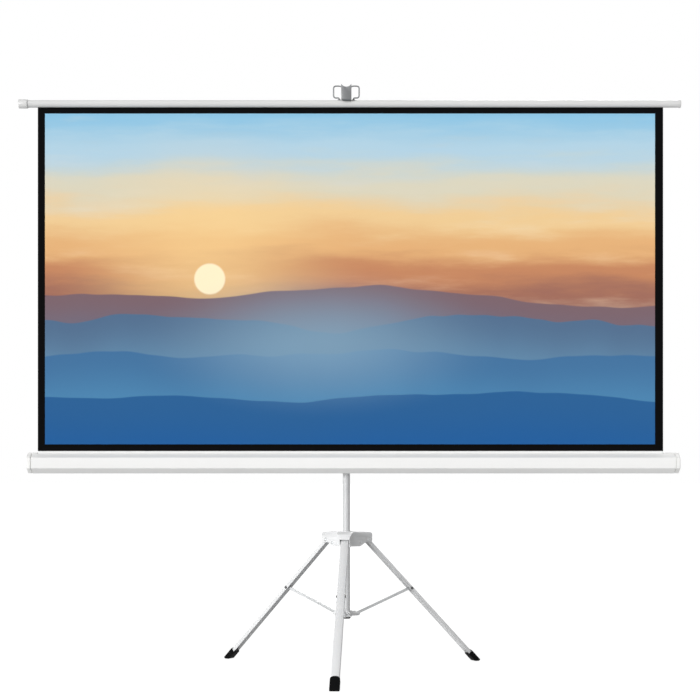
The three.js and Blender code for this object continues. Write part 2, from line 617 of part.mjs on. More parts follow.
function buildLegs() {
  const holeLength = 2 * legMouthHalf;
  const hubHole = rod('y', HUB_PIN_DIAMETER / 2 + SLIDE_GAP, -holeLength, holeLength, SMALL_STEPS);
  const strutHole = rod('y', STRUT_PIN_DIAMETER / 2 + SLIDE_GAP, -holeLength, holeLength, SMALL_STEPS);
  const leg = cut(legChannel(), hubHole, strutHole.translate(0, 0, -strutPivotDrop));
  const headRadius = STRUT_PIN_DIAMETER / 2 + RIVET_HEAD_OVERHANG;
  const pinGrip = legHalfWidth(0) + headRadius * flareSlope + SEAT_GAP;
  for (const { side, turn } of limbs) {
    const limb = place(screen, `limb_${side}`, [0, 0, 0], [0, 0, turn]);
    const hubPivot = [HUB_PIVOT_RADIUS, 0, HUB_PIVOT_HEIGHT];
    const strutPivot = [STRUT_PIVOT_RADIUS, 0, STRUT_PIVOT_HEIGHT];
    const hinge = place(limb, `leg_hinge_${side}`, hubPivot, [0, -legSpread, 0]);
    add(hinge, `leg_${side}`, leg, WHITE_PAINT);
    add(hinge, `boot_${side}`, boot(), BLACK_RUBBER);
    const pin = place(hinge, `strut_pin_seat_${side}`, [0, 0, -strutPivotDrop]);
    add(pin, `strut_pin_${side}`, rivet(STRUT_PIN_DIAMETER, pinGrip), DARK_STEEL);
    const swing = place(limb, `strut_hinge_${side}`, strutPivot, [0, strutSpread, 0]);
    add(swing, `strut_${side}`, strut(), PALE_STEEL);
  }
}

// Spider: a collar fixed round the mast's lower end, with a pair of ears for each strut
function buildSpider() {
  const collarRadius = mastRadius + SEAT_GAP + SPIDER_WALL;
  const low = MAST_LOW_END + SPIDER_RISE;
  const earLow = SPIDER_PIVOT_HEIGHT - EAR_ROUND;
  const ear = polygon([[mastRadius, earLow], [SPIDER_PIVOT_RADIUS, earLow]]);
  ear.absarc(SPIDER_PIVOT_RADIUS, SPIDER_PIVOT_HEIGHT, EAR_ROUND, -Math.PI / 2, Math.PI / 2, false);
  ear.lineTo(mastRadius, SPIDER_PIVOT_HEIGHT + EAR_ROUND);
  const ears = [];
  for (const { turn } of limbs) {
    for (const hand of [-1, 1]) {
      const faces = span(hand, earGapHalf, earGapHalf + EAR_WALL);
      const tips = span(hand, earGapHalf, earGapHalf + EAR_WALL + EAR_BOSS_HEIGHT);
      const boss = rod('y', EAR_BOSS_DIAMETER / 2, tips[0], tips[1], SMALL_STEPS);
      ears.push(prism('y', ear, faces[0], faces[1]).rotateZ(turn));
      ears.push(boss.translate(SPIDER_PIVOT_RADIUS, 0, SPIDER_PIVOT_HEIGHT).rotateZ(turn));
    }
  }
  const sleeve = rod('z', collarRadius, low, low + SPIDER_HEIGHT);
  const bore = rod('z', mastRadius + SEAT_GAP, low - SPIDER_HEIGHT, low + 2 * SPIDER_HEIGHT);
  add(screen, 'spider_collar', cut(join(sleeve, ...ears), bore), GREY_STEEL);
}

// Carrier: a clamped sleeve on the mast whose front boss holds the case pivot
function buildCarrier() {
  const sleeveRadius = mastRadius + SLIDE_GAP + CARRIER_WALL;
  const low = PIVOT_HEIGHT - CARRIER_HEIGHT / 2;
  const knobFace = sleeveRadius + KNOB_BOSS_LENGTH;
  const bossFace = mastRadius + PIVOT_BOSS_LENGTH;
  const sleeve = ring('z', sleeveRadius, mastRadius + SLIDE_GAP, low, low + CARRIER_HEIGHT);
  const boss = rod('y', PIVOT_BOSS_DIAMETER / 2, -bossFace, 0).translate(0, 0, PIVOT_HEIGHT);
  const bore = rod('z', mastRadius + SLIDE_GAP, low - CARRIER_HEIGHT, low + 2 * CARRIER_HEIGHT);
  const boltHole = rod('y', PIVOT_BOLT_DIAMETER / 2 + SEAT_GAP, -2 * bossFace, 0, SMALL_STEPS);
  const body = cut(join(sleeve, boss), bore, boltHole.translate(0, 0, PIVOT_HEIGHT));
  add(screen, 'carrier_sleeve', bossed(body, PIVOT_HEIGHT, mastRadius + SLIDE_GAP, knobFace), BLACK_PLASTIC);
  const knobSeat = place(screen, 'carrier_knob_seat', [0, knobFace, PIVOT_HEIGHT], [-Math.PI / 2, 0, 0]);
  add(knobSeat, 'carrier_lock_knob', knob(knobFace - mastRadius - SEAT_GAP), BLACK_PLASTIC);

  const washerFace = bossFace + SEAT_GAP + WASHER_THICKNESS;
  const bracketFace = washerFace + SEAT_GAP;
  const headFace = bracketFace + BRACKET_SHEET + SEAT_GAP;
  const pivot = place(screen, 'case_pivot', [0, 0, PIVOT_HEIGHT]);
  const bolt = PIVOT_BOLT_DIAMETER / 2;
  const boltHead = PIVOT_BOLT_HEAD_DIAMETER / 2;
  const boltEnd = -headFace - PIVOT_BOLT_HEAD_HEIGHT;
  const boltTip = -mastRadius - PIVOT_BOLT_TIP_GAP;
  add(pivot, 'pivot_washer',
    ring('y', WASHER_DIAMETER / 2, bolt + SLIDE_GAP, -washerFace, -bossFace - SEAT_GAP), WHITE_PLASTIC);
  add(pivot, 'case_pivot_bolt', turned('y', [
    [0, boltEnd], [boltHead, boltEnd], [boltHead, -headFace],
    [bolt, -headFace], [bolt, boltTip], [0, boltTip],
  ]), DARK_STEEL);
  buildBracket(pivot, bracketFace);
}

// Case bracket: a hat-shaped plate screwed to the case's rear face, turning on the pivot bolt
function buildBracket(pivot, face) {
  const hat = BRACKET_HAT_WIDTH / 2;
  const brim = hat + BRACKET_FLANGE;
  const seat = caseRearY + SEAT_GAP;
  const section = polygon([
    [-brim, seat], [-hat + BRACKET_SHEET, seat], [-hat + BRACKET_SHEET, -face - BRACKET_SHEET],
    [hat - BRACKET_SHEET, -face - BRACKET_SHEET], [hat - BRACKET_SHEET, seat], [brim, seat],
    [brim, seat + BRACKET_SHEET], [hat, seat + BRACKET_SHEET], [hat, -face], [-hat, -face],
    [-hat, seat + BRACKET_SHEET], [-brim, seat + BRACKET_SHEET],
  ]);
  const plate = prism('z', section, -BRACKET_HEIGHT / 2, BRACKET_HEIGHT / 2);
  const bore = rod('y', PIVOT_BOLT_DIAMETER / 2 + SLIDE_GAP, -2 * CASE_SETBACK, 0, SMALL_STEPS);
  const screwX = hat + BRACKET_FLANGE / 2;
  const spots = [-1, 1].flatMap((u) => [-1, 1].map((v) => [u * screwX, (v * BRACKET_SCREW_SPREAD) / 2]));
  const holes = spots.map(([x, z]) => screwHole(x, z));
  add(pivot, 'case_bracket', cut(plate, bore, ...holes), GREY_STEEL);
  spots.forEach(([x, z], i) => {
    const seatGroup = place(pivot, `bracket_screw_seat_${i + 1}`, [x, seat + BRACKET_SHEET + SEAT_GAP, z]);
    const reach = BRACKET_SHEET + 2 * SEAT_GAP + CASE_WALL + SCREW_REACH;
    add(seatGroup, `bracket_screw_${i + 1}`, caseScrew(reach), DARK_STEEL);
  });
  buildCase(pivot, holes);
}

// The screws that hold the bracket and the end caps, and the holes they pass through
function caseScrew(reach) {
  return screw(SCREW_DIAMETER, SCREW_HEAD_DIAMETER, SCREW_HEAD_HEIGHT, reach);
}

function screwHole(x, z) {
  const hole = rod('y', SCREW_DIAMETER / 2 + SEAT_GAP, caseRearY - CASE_DEPTH / 4, -mastRadius, SMALL_STEPS);
  return hole.translate(x, 0, z);
}

// Six corners of the case section as (y, z), ridge up, starting from the top ridge and going rearwards
function caseCorners(halfDepth) {
  const round = halfDepth / Math.cos(Math.PI / 6);
  return [0, 1, 2, 3, 4, 5].map((i) => {
    const angle = Math.PI / 2 - (i * Math.PI) / 3;
    return [caseY + round * Math.cos(angle), round * Math.sin(angle)];
  });
}

// A point on the front upper face of a hexagon of the given half depth, at a given y
function frontSlope(halfDepth, y) {
  const round = halfDepth / Math.cos(Math.PI / 6);
  return [y, round - Math.abs(y - caseY) * Math.tan(Math.PI / 6)];
}

// Case: hexagonal tube with a cloth slot, and its end caps
function buildCase(pivot, bracketHoles) {
  const caseMiddle = SCREEN_SHIFT + CASE_SHIFT;
  const carried = place(pivot, 'case_axis', [caseMiddle, 0, 0]);
  const shiftedHoles = bracketHoles.map((hole) => hole.clone().translate(-caseMiddle, 0, 0));
  const outer = CASE_DEPTH / 2;
  const inner = outer - CASE_WALL;
  const slot = [fabricY + SLOT_WIDTH / 2, fabricY - SLOT_WIDTH / 2];
  const section = polygon([
    frontSlope(outer, slot[0]), ...caseCorners(outer), frontSlope(outer, slot[1]),
    frontSlope(inner, slot[1]), ...caseCorners(inner).reverse(), frontSlope(inner, slot[0]),
  ]);
  const capHoles = [-1, 1].map((hand) => screwHole(hand * (caseHalf - CAP_SCREW_INSET), 0));
  const shell = cut(prism('x', section, -caseHalf, caseHalf), ...shiftedHoles, ...capHoles);
  add(carried, 'case_shell', shell, WHITE_PAINT);
  for (const [side, hand] of [['left', -1], ['right', 1]]) {
    const end = place(carried, `case_end_${side}`, [hand * caseHalf, 0, 0]);
    add(end, `end_cap_${side}`, endCap(hand), WHITE_PLASTIC);
    const seat = place(end, `cap_screw_seat_${side}`, [-hand * CAP_SCREW_INSET, caseRearY + SEAT_GAP, 0]);
    const reach = SEAT_GAP + CASE_WALL + SEAT_GAP + CAP_SPIGOT_WALL;
    add(seat, `cap_screw_${side}`, caseScrew(reach), DARK_STEEL);
  }
  buildRoller(carried);
}

// An end cap: a hexagonal lid, a spigot ring inside the case and a journal boss for the roller
function endCap(hand) {
  const spigotDepth = CASE_MARGIN + hand * CASE_SHIFT - FABRIC_EDGE_GAP;
  const lid = span(hand, SEAT_GAP, CAP_THICKNESS);
  const spigot = span(hand, -spigotDepth, CAP_FLOOR + SEAT_GAP);
  const hollow = span(hand, -2 * spigotDepth, CAP_THICKNESS - CAP_FLOOR);
  const spigotHalf = CASE_DEPTH / 2 - CASE_WALL - SEAT_GAP;
  const bossRadius = JOURNAL_DIAMETER / 2 + SLIDE_GAP + JOURNAL_BOSS_WALL;
  const bossSpan = span(hand, -JOURNAL_BOSS_DEPTH, CAP_THICKNESS - CAP_FLOOR / 2);
  const boreSpan = span(hand, -2 * JOURNAL_BOSS_DEPTH, JOURNAL_REACH - JOURNAL_BOSS_DEPTH + SEAT_GAP);
  const outerBody = join(prism('x', polygon(caseCorners(CASE_DEPTH / 2)), lid[0], lid[1]),
    prism('x', polygon(caseCorners(spigotHalf)), spigot[0], spigot[1]));
  const cup = prism('x', polygon(caseCorners(spigotHalf - CAP_SPIGOT_WALL)), hollow[0], hollow[1]);
  const boss = rod('x', bossRadius, bossSpan[0], bossSpan[1]).translate(0, rollerY, 0);
  const bore = rod('x', JOURNAL_DIAMETER / 2 + SLIDE_GAP, boreSpan[0], boreSpan[1], SMALL_STEPS);
  return cut(join(cut(outerBody, cup), boss), bore.translate(0, rollerY, 0),
    screwHole(-hand * CAP_SCREW_INSET, 0));
}

// Roller: tube, wound cloth, end plugs, and the spring on its fixed arbor
function buildRoller(carried) {
  const roller = place(carried, 'roller_axis', [0, rollerY, 0]);
  const tubeRadius = ROLLER_DIAMETER / 2;
  const tubeBore = tubeRadius - ROLLER_WALL;
  const plugRadius = tubeBore - SEAT_GAP;
  const journal = JOURNAL_DIAMETER / 2;
  const arbor = ARBOR_DIAMETER / 2;
  const flangeFace = rollerHalf + SEAT_GAP;
  const bossFace = caseHalf - JOURNAL_BOSS_DEPTH;
  const plugEnd = rollerHalf - ROLLER_PLUG_DEPTH;
  add(roller, 'roller_tube', ring('x', tubeRadius, tubeBore, -rollerHalf, rollerHalf), PALE_STEEL);
  add(roller, 'wound_cloth',
    ring('x', rollRadius, tubeRadius + SEAT_GAP, -FABRIC_WIDTH / 2 - CASE_SHIFT,
      FABRIC_WIDTH / 2 - CASE_SHIFT), SCREEN_CLOTH);
  add(roller, 'roller_plug_right', turned('x', [
    [0, plugEnd], [plugRadius, plugEnd], [plugRadius, flangeFace], [tubeRadius, flangeFace],
    [tubeRadius, flangeFace + ROLLER_PLUG_FLANGE], [journal, flangeFace + ROLLER_PLUG_FLANGE],
    [journal, bossFace + JOURNAL_REACH], [0, bossFace + JOURNAL_REACH],
  ]), BLACK_PLASTIC);
  const arborBore = arbor + SLIDE_GAP;
  add(roller, 'roller_plug_left', turned('x', [
    [arborBore, -plugEnd], [plugRadius, -plugEnd], [plugRadius, -flangeFace], [tubeRadius, -flangeFace],
    [tubeRadius, -flangeFace - ROLLER_PLUG_FLANGE], [arborBore, -flangeFace - ROLLER_PLUG_FLANGE],
  ]), BLACK_PLASTIC);

  const springStart = -plugEnd + SEAT_GAP + SPRING_WIRE / 2;
  const discFace = springStart + SPRING_LENGTH + SPRING_WIRE / 2 + SEAT_GAP;
  add(roller, 'spring_arbor', turned('x', [
    [0, -bossFace - JOURNAL_REACH], [journal, -bossFace - JOURNAL_REACH], [journal, -bossFace],
    [arbor, -bossFace], [arbor, discFace], [ARBOR_DISC_DIAMETER / 2, discFace],
    [ARBOR_DISC_DIAMETER / 2, discFace + ARBOR_DISC_THICKNESS], [0, discFace + ARBOR_DISC_THICKNESS],
  ]), GREY_STEEL);
  const coil = new SpringCurve(springStart);
  add(roller, 'roller_spring',
    tubeAlong(coil, SPRING_WIRE / 2, SPRING_TURNS * CURL_STEPS, CURL_SIDES), GREY_STEEL);
}

// The roller spring's helix
class SpringCurve extends THREE.Curve {
  constructor(start) {
    super();
    this.start = start;
  }

  getPoint(t, target = new THREE.Vector3()) {
    const angle = t * SPRING_TURNS * Math.PI * 2;
    const radius = (SPRING_DIAMETER - SPRING_WIRE) / 2;
    return target.set(this.start + t * SPRING_LENGTH, radius * Math.cos(angle), radius * Math.sin(angle));
  }
}

// Cloth: a taut sheet from the roller up to a bead held in the top bar
function buildFabric() {
  const lip = Math.sqrt((barRadius - BAR_WALL) ** 2 - (BAR_SLOT / 2) ** 2);
  const bead = FABRIC_BEAD_DIAMETER / 2;
  const beadHeight = BAR_HEIGHT - lip + Math.sqrt((bead + SEAT_GAP) ** 2 - (BAR_SLOT / 2) ** 2);
  const half = FABRIC_WIDTH / 2;
  const cloth = place(screen, 'cloth_plane', [SCREEN_SHIFT, fabricY, 0]);
  const sheet = box([-half, half], [-FABRIC_THICKNESS / 2, FABRIC_THICKNESS / 2], [PIVOT_HEIGHT, beadHeight]);
  const edge = rod('x', bead, -half, half, SMALL_STEPS).translate(0, 0, beadHeight);
  add(cloth, 'screen_fabric', join(sheet, edge), SCREEN_CLOTH);
}

// Top bar: a slotted tube with a ferrule, an end plug and the hanging handle
function buildTopBar() {
  const bar = place(screen, 'top_bar_axis', [SCREEN_SHIFT, fabricY, BAR_HEIGHT]);
  const half = BAR_LENGTH / 2;
  const bore = barRadius - BAR_WALL;
  const outerSlot = Math.asin(BAR_SLOT / 2 / barRadius);
  const innerSlot = Math.asin(BAR_SLOT / 2 / bore);
  const section = new THREE.Shape();
  section.absarc(0, 0, barRadius, -Math.PI / 2 + outerSlot, 1.5 * Math.PI - outerSlot, false);
  section.absarc(0, 0, bore, 1.5 * Math.PI - innerSlot, -Math.PI / 2 + innerSlot, true);
  const bushingRadius = WIRE_DIAMETER / 2 + SEAT_GAP + BUSHING_WALL;
  const feet = [-HANDLE_FOOT_SPREAD / 2, HANDLE_FOOT_SPREAD / 2];
  const hole = rod('z', bushingRadius + SEAT_GAP, 0, BAR_DIAMETER, SMALL_STEPS);
  const holes = feet.map((x) => hole.clone().translate(x - SCREEN_SHIFT, 0, 0));
  add(bar, 'top_bar', cut(prism('x', section, -half, half, ROUND_STEPS), ...holes), WHITE_PAINT);

  const ferrule = FERRULE_DIAMETER / 2;
  const ferruleEnd = -half - SEAT_GAP - FERRULE_END;
  add(bar, 'top_bar_ferrule', turned('x', [
    [0, ferruleEnd], [ferrule - FERRULE_CHAMFER, ferruleEnd], [ferrule, ferruleEnd + FERRULE_CHAMFER],
    [ferrule, ferruleEnd + FERRULE_LENGTH], [barRadius + SEAT_GAP, ferruleEnd + FERRULE_LENGTH],
    [barRadius + SEAT_GAP, -half - SEAT_GAP], [0, -half - SEAT_GAP],
  ]), WHITE_PLASTIC);
  const plugFace = half + SEAT_GAP;
  const plugEnd = plugFace + END_PLUG_FLANGE;
  const plugRim = END_PLUG_DIAMETER / 2;
  add(bar, 'top_bar_end_plug', turned('x', [
    [0, half - END_PLUG_DEPTH], [bore - SEAT_GAP, half - END_PLUG_DEPTH], [bore - SEAT_GAP, plugFace],
    [plugRim, plugFace], [plugRim, plugEnd - END_PLUG_CHAMFER],
    [plugRim - END_PLUG_CHAMFER, plugEnd], [0, plugEnd],
  ]), WHITE_PLASTIC);
  buildHandle(feet, bushingRadius);
}

// Handle: a bent wire standing on the bar, dipped in the middle to sit in the hook
function buildHandle(feet, bushingRadius) {
  const grip = place(screen, 'handle_axis', [0, fabricY, BAR_HEIGHT]);
  const wire = WIRE_DIAMETER / 2;
  const dip = hookSeat + SEAT_GAP + wire - BAR_HEIGHT;
  const top = barRadius + HANDLE_TOP_RISE;
  const shoulder = barRadius + HANDLE_SHOULDER_RISE;
  const outer = HANDLE_WIDTH / 2 - wire;
  const foot = HANDLE_FOOT_SPREAD / 2;
  const halfRun = [
    { x: foot, z: barRadius - HANDLE_FOOT_DEPTH, corner: 0 },
    { x: foot, z: shoulder, corner: HANDLE_FOOT_CORNER },
    { x: outer, z: shoulder, corner: HANDLE_CORNER },
    { x: outer, z: top, corner: HANDLE_CORNER },
    { x: HANDLE_DIP_TOP / 2, z: top, corner: HANDLE_CORNER },
    { x: HANDLE_DIP_BOTTOM / 2, z: dip, corner: HANDLE_CORNER },
  ];
  const run = [...halfRun.map((stop) => ({ ...stop, x: -stop.x })), ...halfRun.slice().reverse()];
  const stops = run.map(({ x, z }) => new THREE.Vector3(x, 0, z));
  const path = roundedPath(stops, run.map(({ corner }) => corner));
  add(grip, 'handle_wire', tubeAlong(path, wire, WIRE_STEPS, WIRE_SIDES), GREY_STEEL);
  const flangeTop = SEAT_GAP + BUSHING_FLANGE_HEIGHT;
  feet.forEach((x, i) => {
    const seat = place(grip, `handle_foot_${i + 1}`, [x, 0, barRadius]);
    add(seat, ['handle_bushing_left', 'handle_bushing_right'][i], turned('z', [
      [wire + SEAT_GAP, -HANDLE_FOOT_DEPTH], [bushingRadius, -HANDLE_FOOT_DEPTH], [bushingRadius, SEAT_GAP],
      [bushingRadius + BUSHING_FLANGE, SEAT_GAP], [bushingRadius + BUSHING_FLANGE, flangeTop],
      [wire + SEAT_GAP, flangeTop],
    ], SMALL_STEPS), BLACK_PLASTIC);
  });
}

// Hook: a bent strip screwed to the mast's top, curled up in front of the handle
function buildHook() {
  const middle = hookFloor + HOOK_SHEET / 2;
  const curlStart = fabricY - barRadius + HOOK_CURL - HOOK_SHEET / 2;
  const curlMiddle = curlStart - 2 * HOOK_CURL;
  const lipY = curlMiddle - HOOK_CURL;
  const lipTop = hookSeat + HOOK_LIP_RISE;
  const half = HOOK_SHEET / 2;
  const drop = middle - HOOK_CURL;
  const strip = new THREE.Shape();
  strip.moveTo(HOOK_TAIL, middle + half);
  strip.lineTo(curlStart, middle + half);
  strip.absarc(curlStart, drop, HOOK_CURL + half, Math.PI / 2, Math.PI, false);
  strip.absarc(curlMiddle, drop, HOOK_CURL - half, 0, -Math.PI, true);
  strip.lineTo(lipY + half, lipTop);
  strip.lineTo(lipY - half, lipTop);
  strip.absarc(curlMiddle, drop, HOOK_CURL + half, Math.PI, Math.PI * 2, false);
  strip.absarc(curlStart, drop, HOOK_CURL - half, Math.PI, Math.PI / 2, true);
  strip.lineTo(HOOK_TAIL, middle - half);
  const wide = HOOK_WIDTH / 2;
  const low = drop - HOOK_CURL - half;
  const face = polygon([[-wide, low + HOOK_CORNER]]);
  face.quadraticCurveTo(-wide, low - half, 0, low - half);
  face.quadraticCurveTo(wide, low - half, wide, low + HOOK_CORNER);
  face.lineTo(wide, lipTop + half);
  face.quadraticCurveTo(wide - HOOK_CORNER, lipTop - HOOK_LIP_DISH, 0, lipTop - HOOK_LIP_DISH);
  face.quadraticCurveTo(-wide + HOOK_CORNER, lipTop - HOOK_LIP_DISH, -wide, lipTop + half);
  const sheet = meet(prism('x', strip, -wide, wide), prism('y', face, 2 * lipY, 2 * HOOK_TAIL));
  const holeRadius = HOOK_SCREW_DIAMETER / 2 + SEAT_GAP;
  const hole = rod('z', holeRadius, hookFloor - HOOK_SHEET, hookSeat + HOOK_SHEET, SMALL_STEPS);
  add(screen, 'mast_hook', cut(sheet, hole), GREY_STEEL);
  const seat = place(screen, 'hook_screw_seat', [0, 0, hookSeat + SEAT_GAP], [Math.PI / 2, 0, 0]);
  const reach = HOOK_SHEET + HOOK_SCREW_REACH;
  add(seat, 'hook_screw',
    screw(HOOK_SCREW_DIAMETER, HOOK_SCREW_HEAD_DIAMETER, HOOK_SCREW_HEAD_HEIGHT, reach), DARK_STEEL);
}

buildMast();
buildSpider();
buildHub();
buildLegs();
buildCarrier();
buildFabric();
buildTopBar();
buildHook();

// Origin: the middle of the footprint, on the floor
screen.updateMatrixWorld(true);
const extent = new THREE.Box3().setFromObject(screen, true);
const middle = extent.getCenter(new THREE.Vector3());
screen.position.set(-middle.x, -middle.y, -extent.min.z);
screen.updateMatrixWorld(true);

export default screen;
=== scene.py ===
import json
import math

import bmesh
import bpy
from mathutils import Matrix, Vector


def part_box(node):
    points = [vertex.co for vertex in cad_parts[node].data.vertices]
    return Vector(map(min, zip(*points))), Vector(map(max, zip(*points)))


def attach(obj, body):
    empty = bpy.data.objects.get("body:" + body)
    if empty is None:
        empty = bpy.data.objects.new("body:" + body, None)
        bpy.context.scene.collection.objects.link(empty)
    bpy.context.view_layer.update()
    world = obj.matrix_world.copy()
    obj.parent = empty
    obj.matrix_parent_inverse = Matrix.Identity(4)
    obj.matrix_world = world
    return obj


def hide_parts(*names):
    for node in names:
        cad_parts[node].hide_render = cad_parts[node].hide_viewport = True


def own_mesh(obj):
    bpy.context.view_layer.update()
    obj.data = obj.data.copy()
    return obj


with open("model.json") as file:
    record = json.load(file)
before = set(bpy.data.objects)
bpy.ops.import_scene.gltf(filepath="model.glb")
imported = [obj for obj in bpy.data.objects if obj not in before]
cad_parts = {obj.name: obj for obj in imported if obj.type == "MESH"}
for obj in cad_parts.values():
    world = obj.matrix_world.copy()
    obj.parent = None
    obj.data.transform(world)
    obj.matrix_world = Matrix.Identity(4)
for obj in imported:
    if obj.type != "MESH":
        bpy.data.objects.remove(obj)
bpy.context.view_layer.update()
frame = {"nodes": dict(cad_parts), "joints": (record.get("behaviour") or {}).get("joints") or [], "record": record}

# Camera, as the photograph was taken
CAMERA_DISTANCE = 6.786
CAMERA_HEIGHT = 0.914
CAMERA_SIDE = 0.016
SENSOR_WIDTH = 36.0
FRAME_PIXELS = 700
FOCAL_PIXELS = 1529
HORIZON_PIXEL = 463

# Stand, with pivots as distance from the mast's axis and height
LIMB_SIDES = ("front", "right", "left")
FIRST_LIMB_TURN = math.radians(-94)
LIMB_STEP = math.radians(120)
HUB_PIVOT = Vector((0.098, 0, 0.573))
HUB_RIVET = Vector((0.062, 0, 0.561))
HUB_PIN_RADIUS = 0.004
HUB_RIVET_RADIUS = 0.003
STRUT_PIVOT = Vector((0.321, 0, 0.349))
STRUT_PIN_RADIUS = 0.003
RIVET_OVERHANG = 0.0035
RIVET_HEIGHT = 0.0025

# Broken edges of sheet and moulded pieces
MERGE_REACH = 1e-5
FLAT_ANGLE = math.radians(0.5)
EDGE_ANGLE = math.radians(35)
HUB_EDGE = 0.0011
SPIDER_EDGE = 0.0007
SHEET_EDGE = 0.0006
LEG_EDGE = 0.0005
HOOK_EDGE = 0.0004
BOOT_EDGE = 0.0005
TOE_SHARE = 7
TOE_HEIGHT = 0.03

# Tubes and turned pieces
TUBE_STEPS = 96
SMALL_STEPS = 48
FASTENER_STEPS = 32
QUARTER = [math.pi / 2 * k / 6 for k in range(7)]
SMOOTH_ANGLE = math.radians(32)
SEAT_GAP = 0.0003
LIP_ROUND = 0.0004
MAST_WALL = 0.0016
EXTENSION_WALL = 0.0014
BAR_WALL = 0.0012
BAR_SLOT = 0.004
BEAD_RADIUS = 0.004
FERRULE_EDGE = 0.002
PLUG_EDGE = 0.003
ROUND_SHARE = 0.3
PLUG_LIP = 0.0006

# Screws, with the recess as shares of the head
SCREW_SHANK = 0.0025
SCREW_HEAD_HEIGHT = 0.003
SCREW_RIM_SHARE = 0.45
RECESS_ARM_SHARE = 0.62
RECESS_BLADE_SHARE = 0.13
RECESS_HALF_SHARE = 0.5
RECESS_MIDDLE_SHARE = 1.1

# Clamp knobs
KNOB_LOBES = 5
KNOB_RADIUS = 0.019
KNOB_LOBE_DEPTH = 0.0025
KNOB_NECK_RADIUS = 0.009
KNOB_NECK_LENGTH = 0.006
KNOB_THICKNESS = 0.016
KNOB_STUD_RADIUS = 0.004
KNOB_TIP_SHARE = 0.75
KNOB_TIP_CHAMFER = 0.001
KNOB_EDGE = 0.003
KNOB_DIMPLE_RADIUS = 0.009
KNOB_DIMPLE_FLOOR_SHARE = 0.9
KNOB_DIMPLE_DEPTH = 0.0012
KNOB_STEPS = 120

# Case
CASE_CORNER = 0.0035
CASE_WALL = 0.001
CORNER_STEPS = 6
SLOT_HALF = 0.0035
CAP_EDGE = 0.004
CAP_GROOVE = 0.0012
CAP_SEAM = 0.0032
CAP_NECK = 0.0045
CAP_SPIGOT_WALL = 0.004
CAP_FLOOR = 0.004
JOURNAL_BOSS_DEPTH = 0.015
JOURNAL_BOSS_RADIUS = 0.0113
JOURNAL_BORE_RADIUS = 0.0063
CAP_SPIGOT_INSET = 0.0013

# Roller
ROLLER_WALL = 0.0012
ROLL_TURNS = 3
ROLL_STEPS = 64
ROLL_FILL = 0.8
SPRING_TURNS = 16
SPRING_STEPS = 24
SPRING_RADIUS = 0.0093
SPRING_WIRE = 0.0012
SPRING_SIDES = 2

# Cloth
SHEET_COLUMNS = 160
SHEET_ROWS = 96
SHEET_THICKNESS = 0.001
SHEET_RIPPLE = 0.0006
RIPPLE_WAVES = 9
RIPPLE_LEAN = 2
FINE_WAVES = 23
FINE_SHARE = 0.5
PRINT_THREADS = 500
BACK_THREADS = 420
PICTURE_LEFT = -1.335
PICTURE_RIGHT = 1.337
PICTURE_LOW = 0.9959
PICTURE_HIGH = 2.4446
BORDER_LOW = 0.9662

# Printed picture, with places as shares of its width and height
STREAK_ACROSS = 1.6
STREAK_UP = 5.0
STREAK_DRIFT = 0.035
STREAK_SHARE = 0.3
SUN_PLACE = (0.27, 0.5)
SUN_SQUEEZE = 1.84
SUN_RADIUS = 0.043
SUN_RIM = 0.05
GLOW_REACH = 0.5
GLOW_SHARE = 0.6
CREST_SOFT = (-0.002, 0.003)
HAZE_DEPTH = 0.2
VALLEY_PLACE = (0.45, 0.31)
VALLEY_SQUEEZE = 0.75
VALLEY_REACH = 0.24
VALLEY_SHARE = 0.62

# Handle
WIRE_RADIUS = 0.003
HANDLE_HALF = 0.056
HANDLE_FOOT = 0.031
HANDLE_FOOT_DEPTH = 0.009
HANDLE_SHOULDER = 0.010
HANDLE_TOP = 0.062
HANDLE_DIP_TOP = 0.020
HANDLE_DIP_BOTTOM = 0.009
HANDLE_DIP_RISE = 0.0133
HANDLE_CORNER = 0.012
HANDLE_FOOT_CORNER = 0.007
BEND_STEPS = 7

# Places of the sockets that a Mix node has for colours
MIX_SHARE = 0
MIX_FIRST = 6
MIX_SECOND = 7
MIX_RESULT = 2

# Fine grain of painted, plated and moulded pieces
GRAIN_DEPTH = 0.0001

# Light
KEY_STRENGTH = 2.7
KEY_RISE = math.radians(5)
KEY_SIDE = math.radians(40)
FILL_STRENGTH = 0.5
FILL_RISE = math.radians(50)
FILL_SIDE = math.radians(10)
BACK_STRENGTH = 0.8
BACK_RISE = math.radians(38)
BACK_SIDE = math.radians(195)
LAMP_ANGLE = math.radians(20)
AMBIENT = 0.29
FLOOR_WHITE = 1.12
FLOOR_COLOUR = (0.72, 0.72, 0.72)
FLOOR_ROUGHNESS = 0.9
FLOOR_REACH = 60
FLOOR_NEAR = 0.9
FLOOR_FAR = 2.4
FLOOR_NEAR_SHARE = 0.85


# Places read from the frame
def middle_of(node):
    low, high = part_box(node)
    return (low + high) / 2


def joint_named(name):
    return next(joint for joint in frame["joints"] if joint["name"] == name)


mast_axis = middle_of("mast_outer_tube")
mast_axis.z = 0
bar_low, bar_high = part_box("top_bar")
bar_axis = middle_of("top_bar")
bar_radius = (bar_high.y - bar_low.y) / 2
bar_axis.z = bar_high.z - bar_radius
sheet_low, sheet_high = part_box("screen_fabric")
sheet_y = (sheet_low.y + sheet_high.y) / 2


# Shader nodes and the finish that materials share
def new_group(name, inputs, outputs):
    tree = bpy.data.node_groups.new(name, "ShaderNodeTree")
    for label, kind, value in inputs:
        socket = tree.interface.new_socket(label, in_out="INPUT", socket_type=kind)
        socket.default_value = value
    for label, kind in outputs:
        tree.interface.new_socket(label, in_out="OUTPUT", socket_type=kind)
    return tree, tree.nodes.new("NodeGroupInput"), tree.nodes.new("NodeGroupOutput")


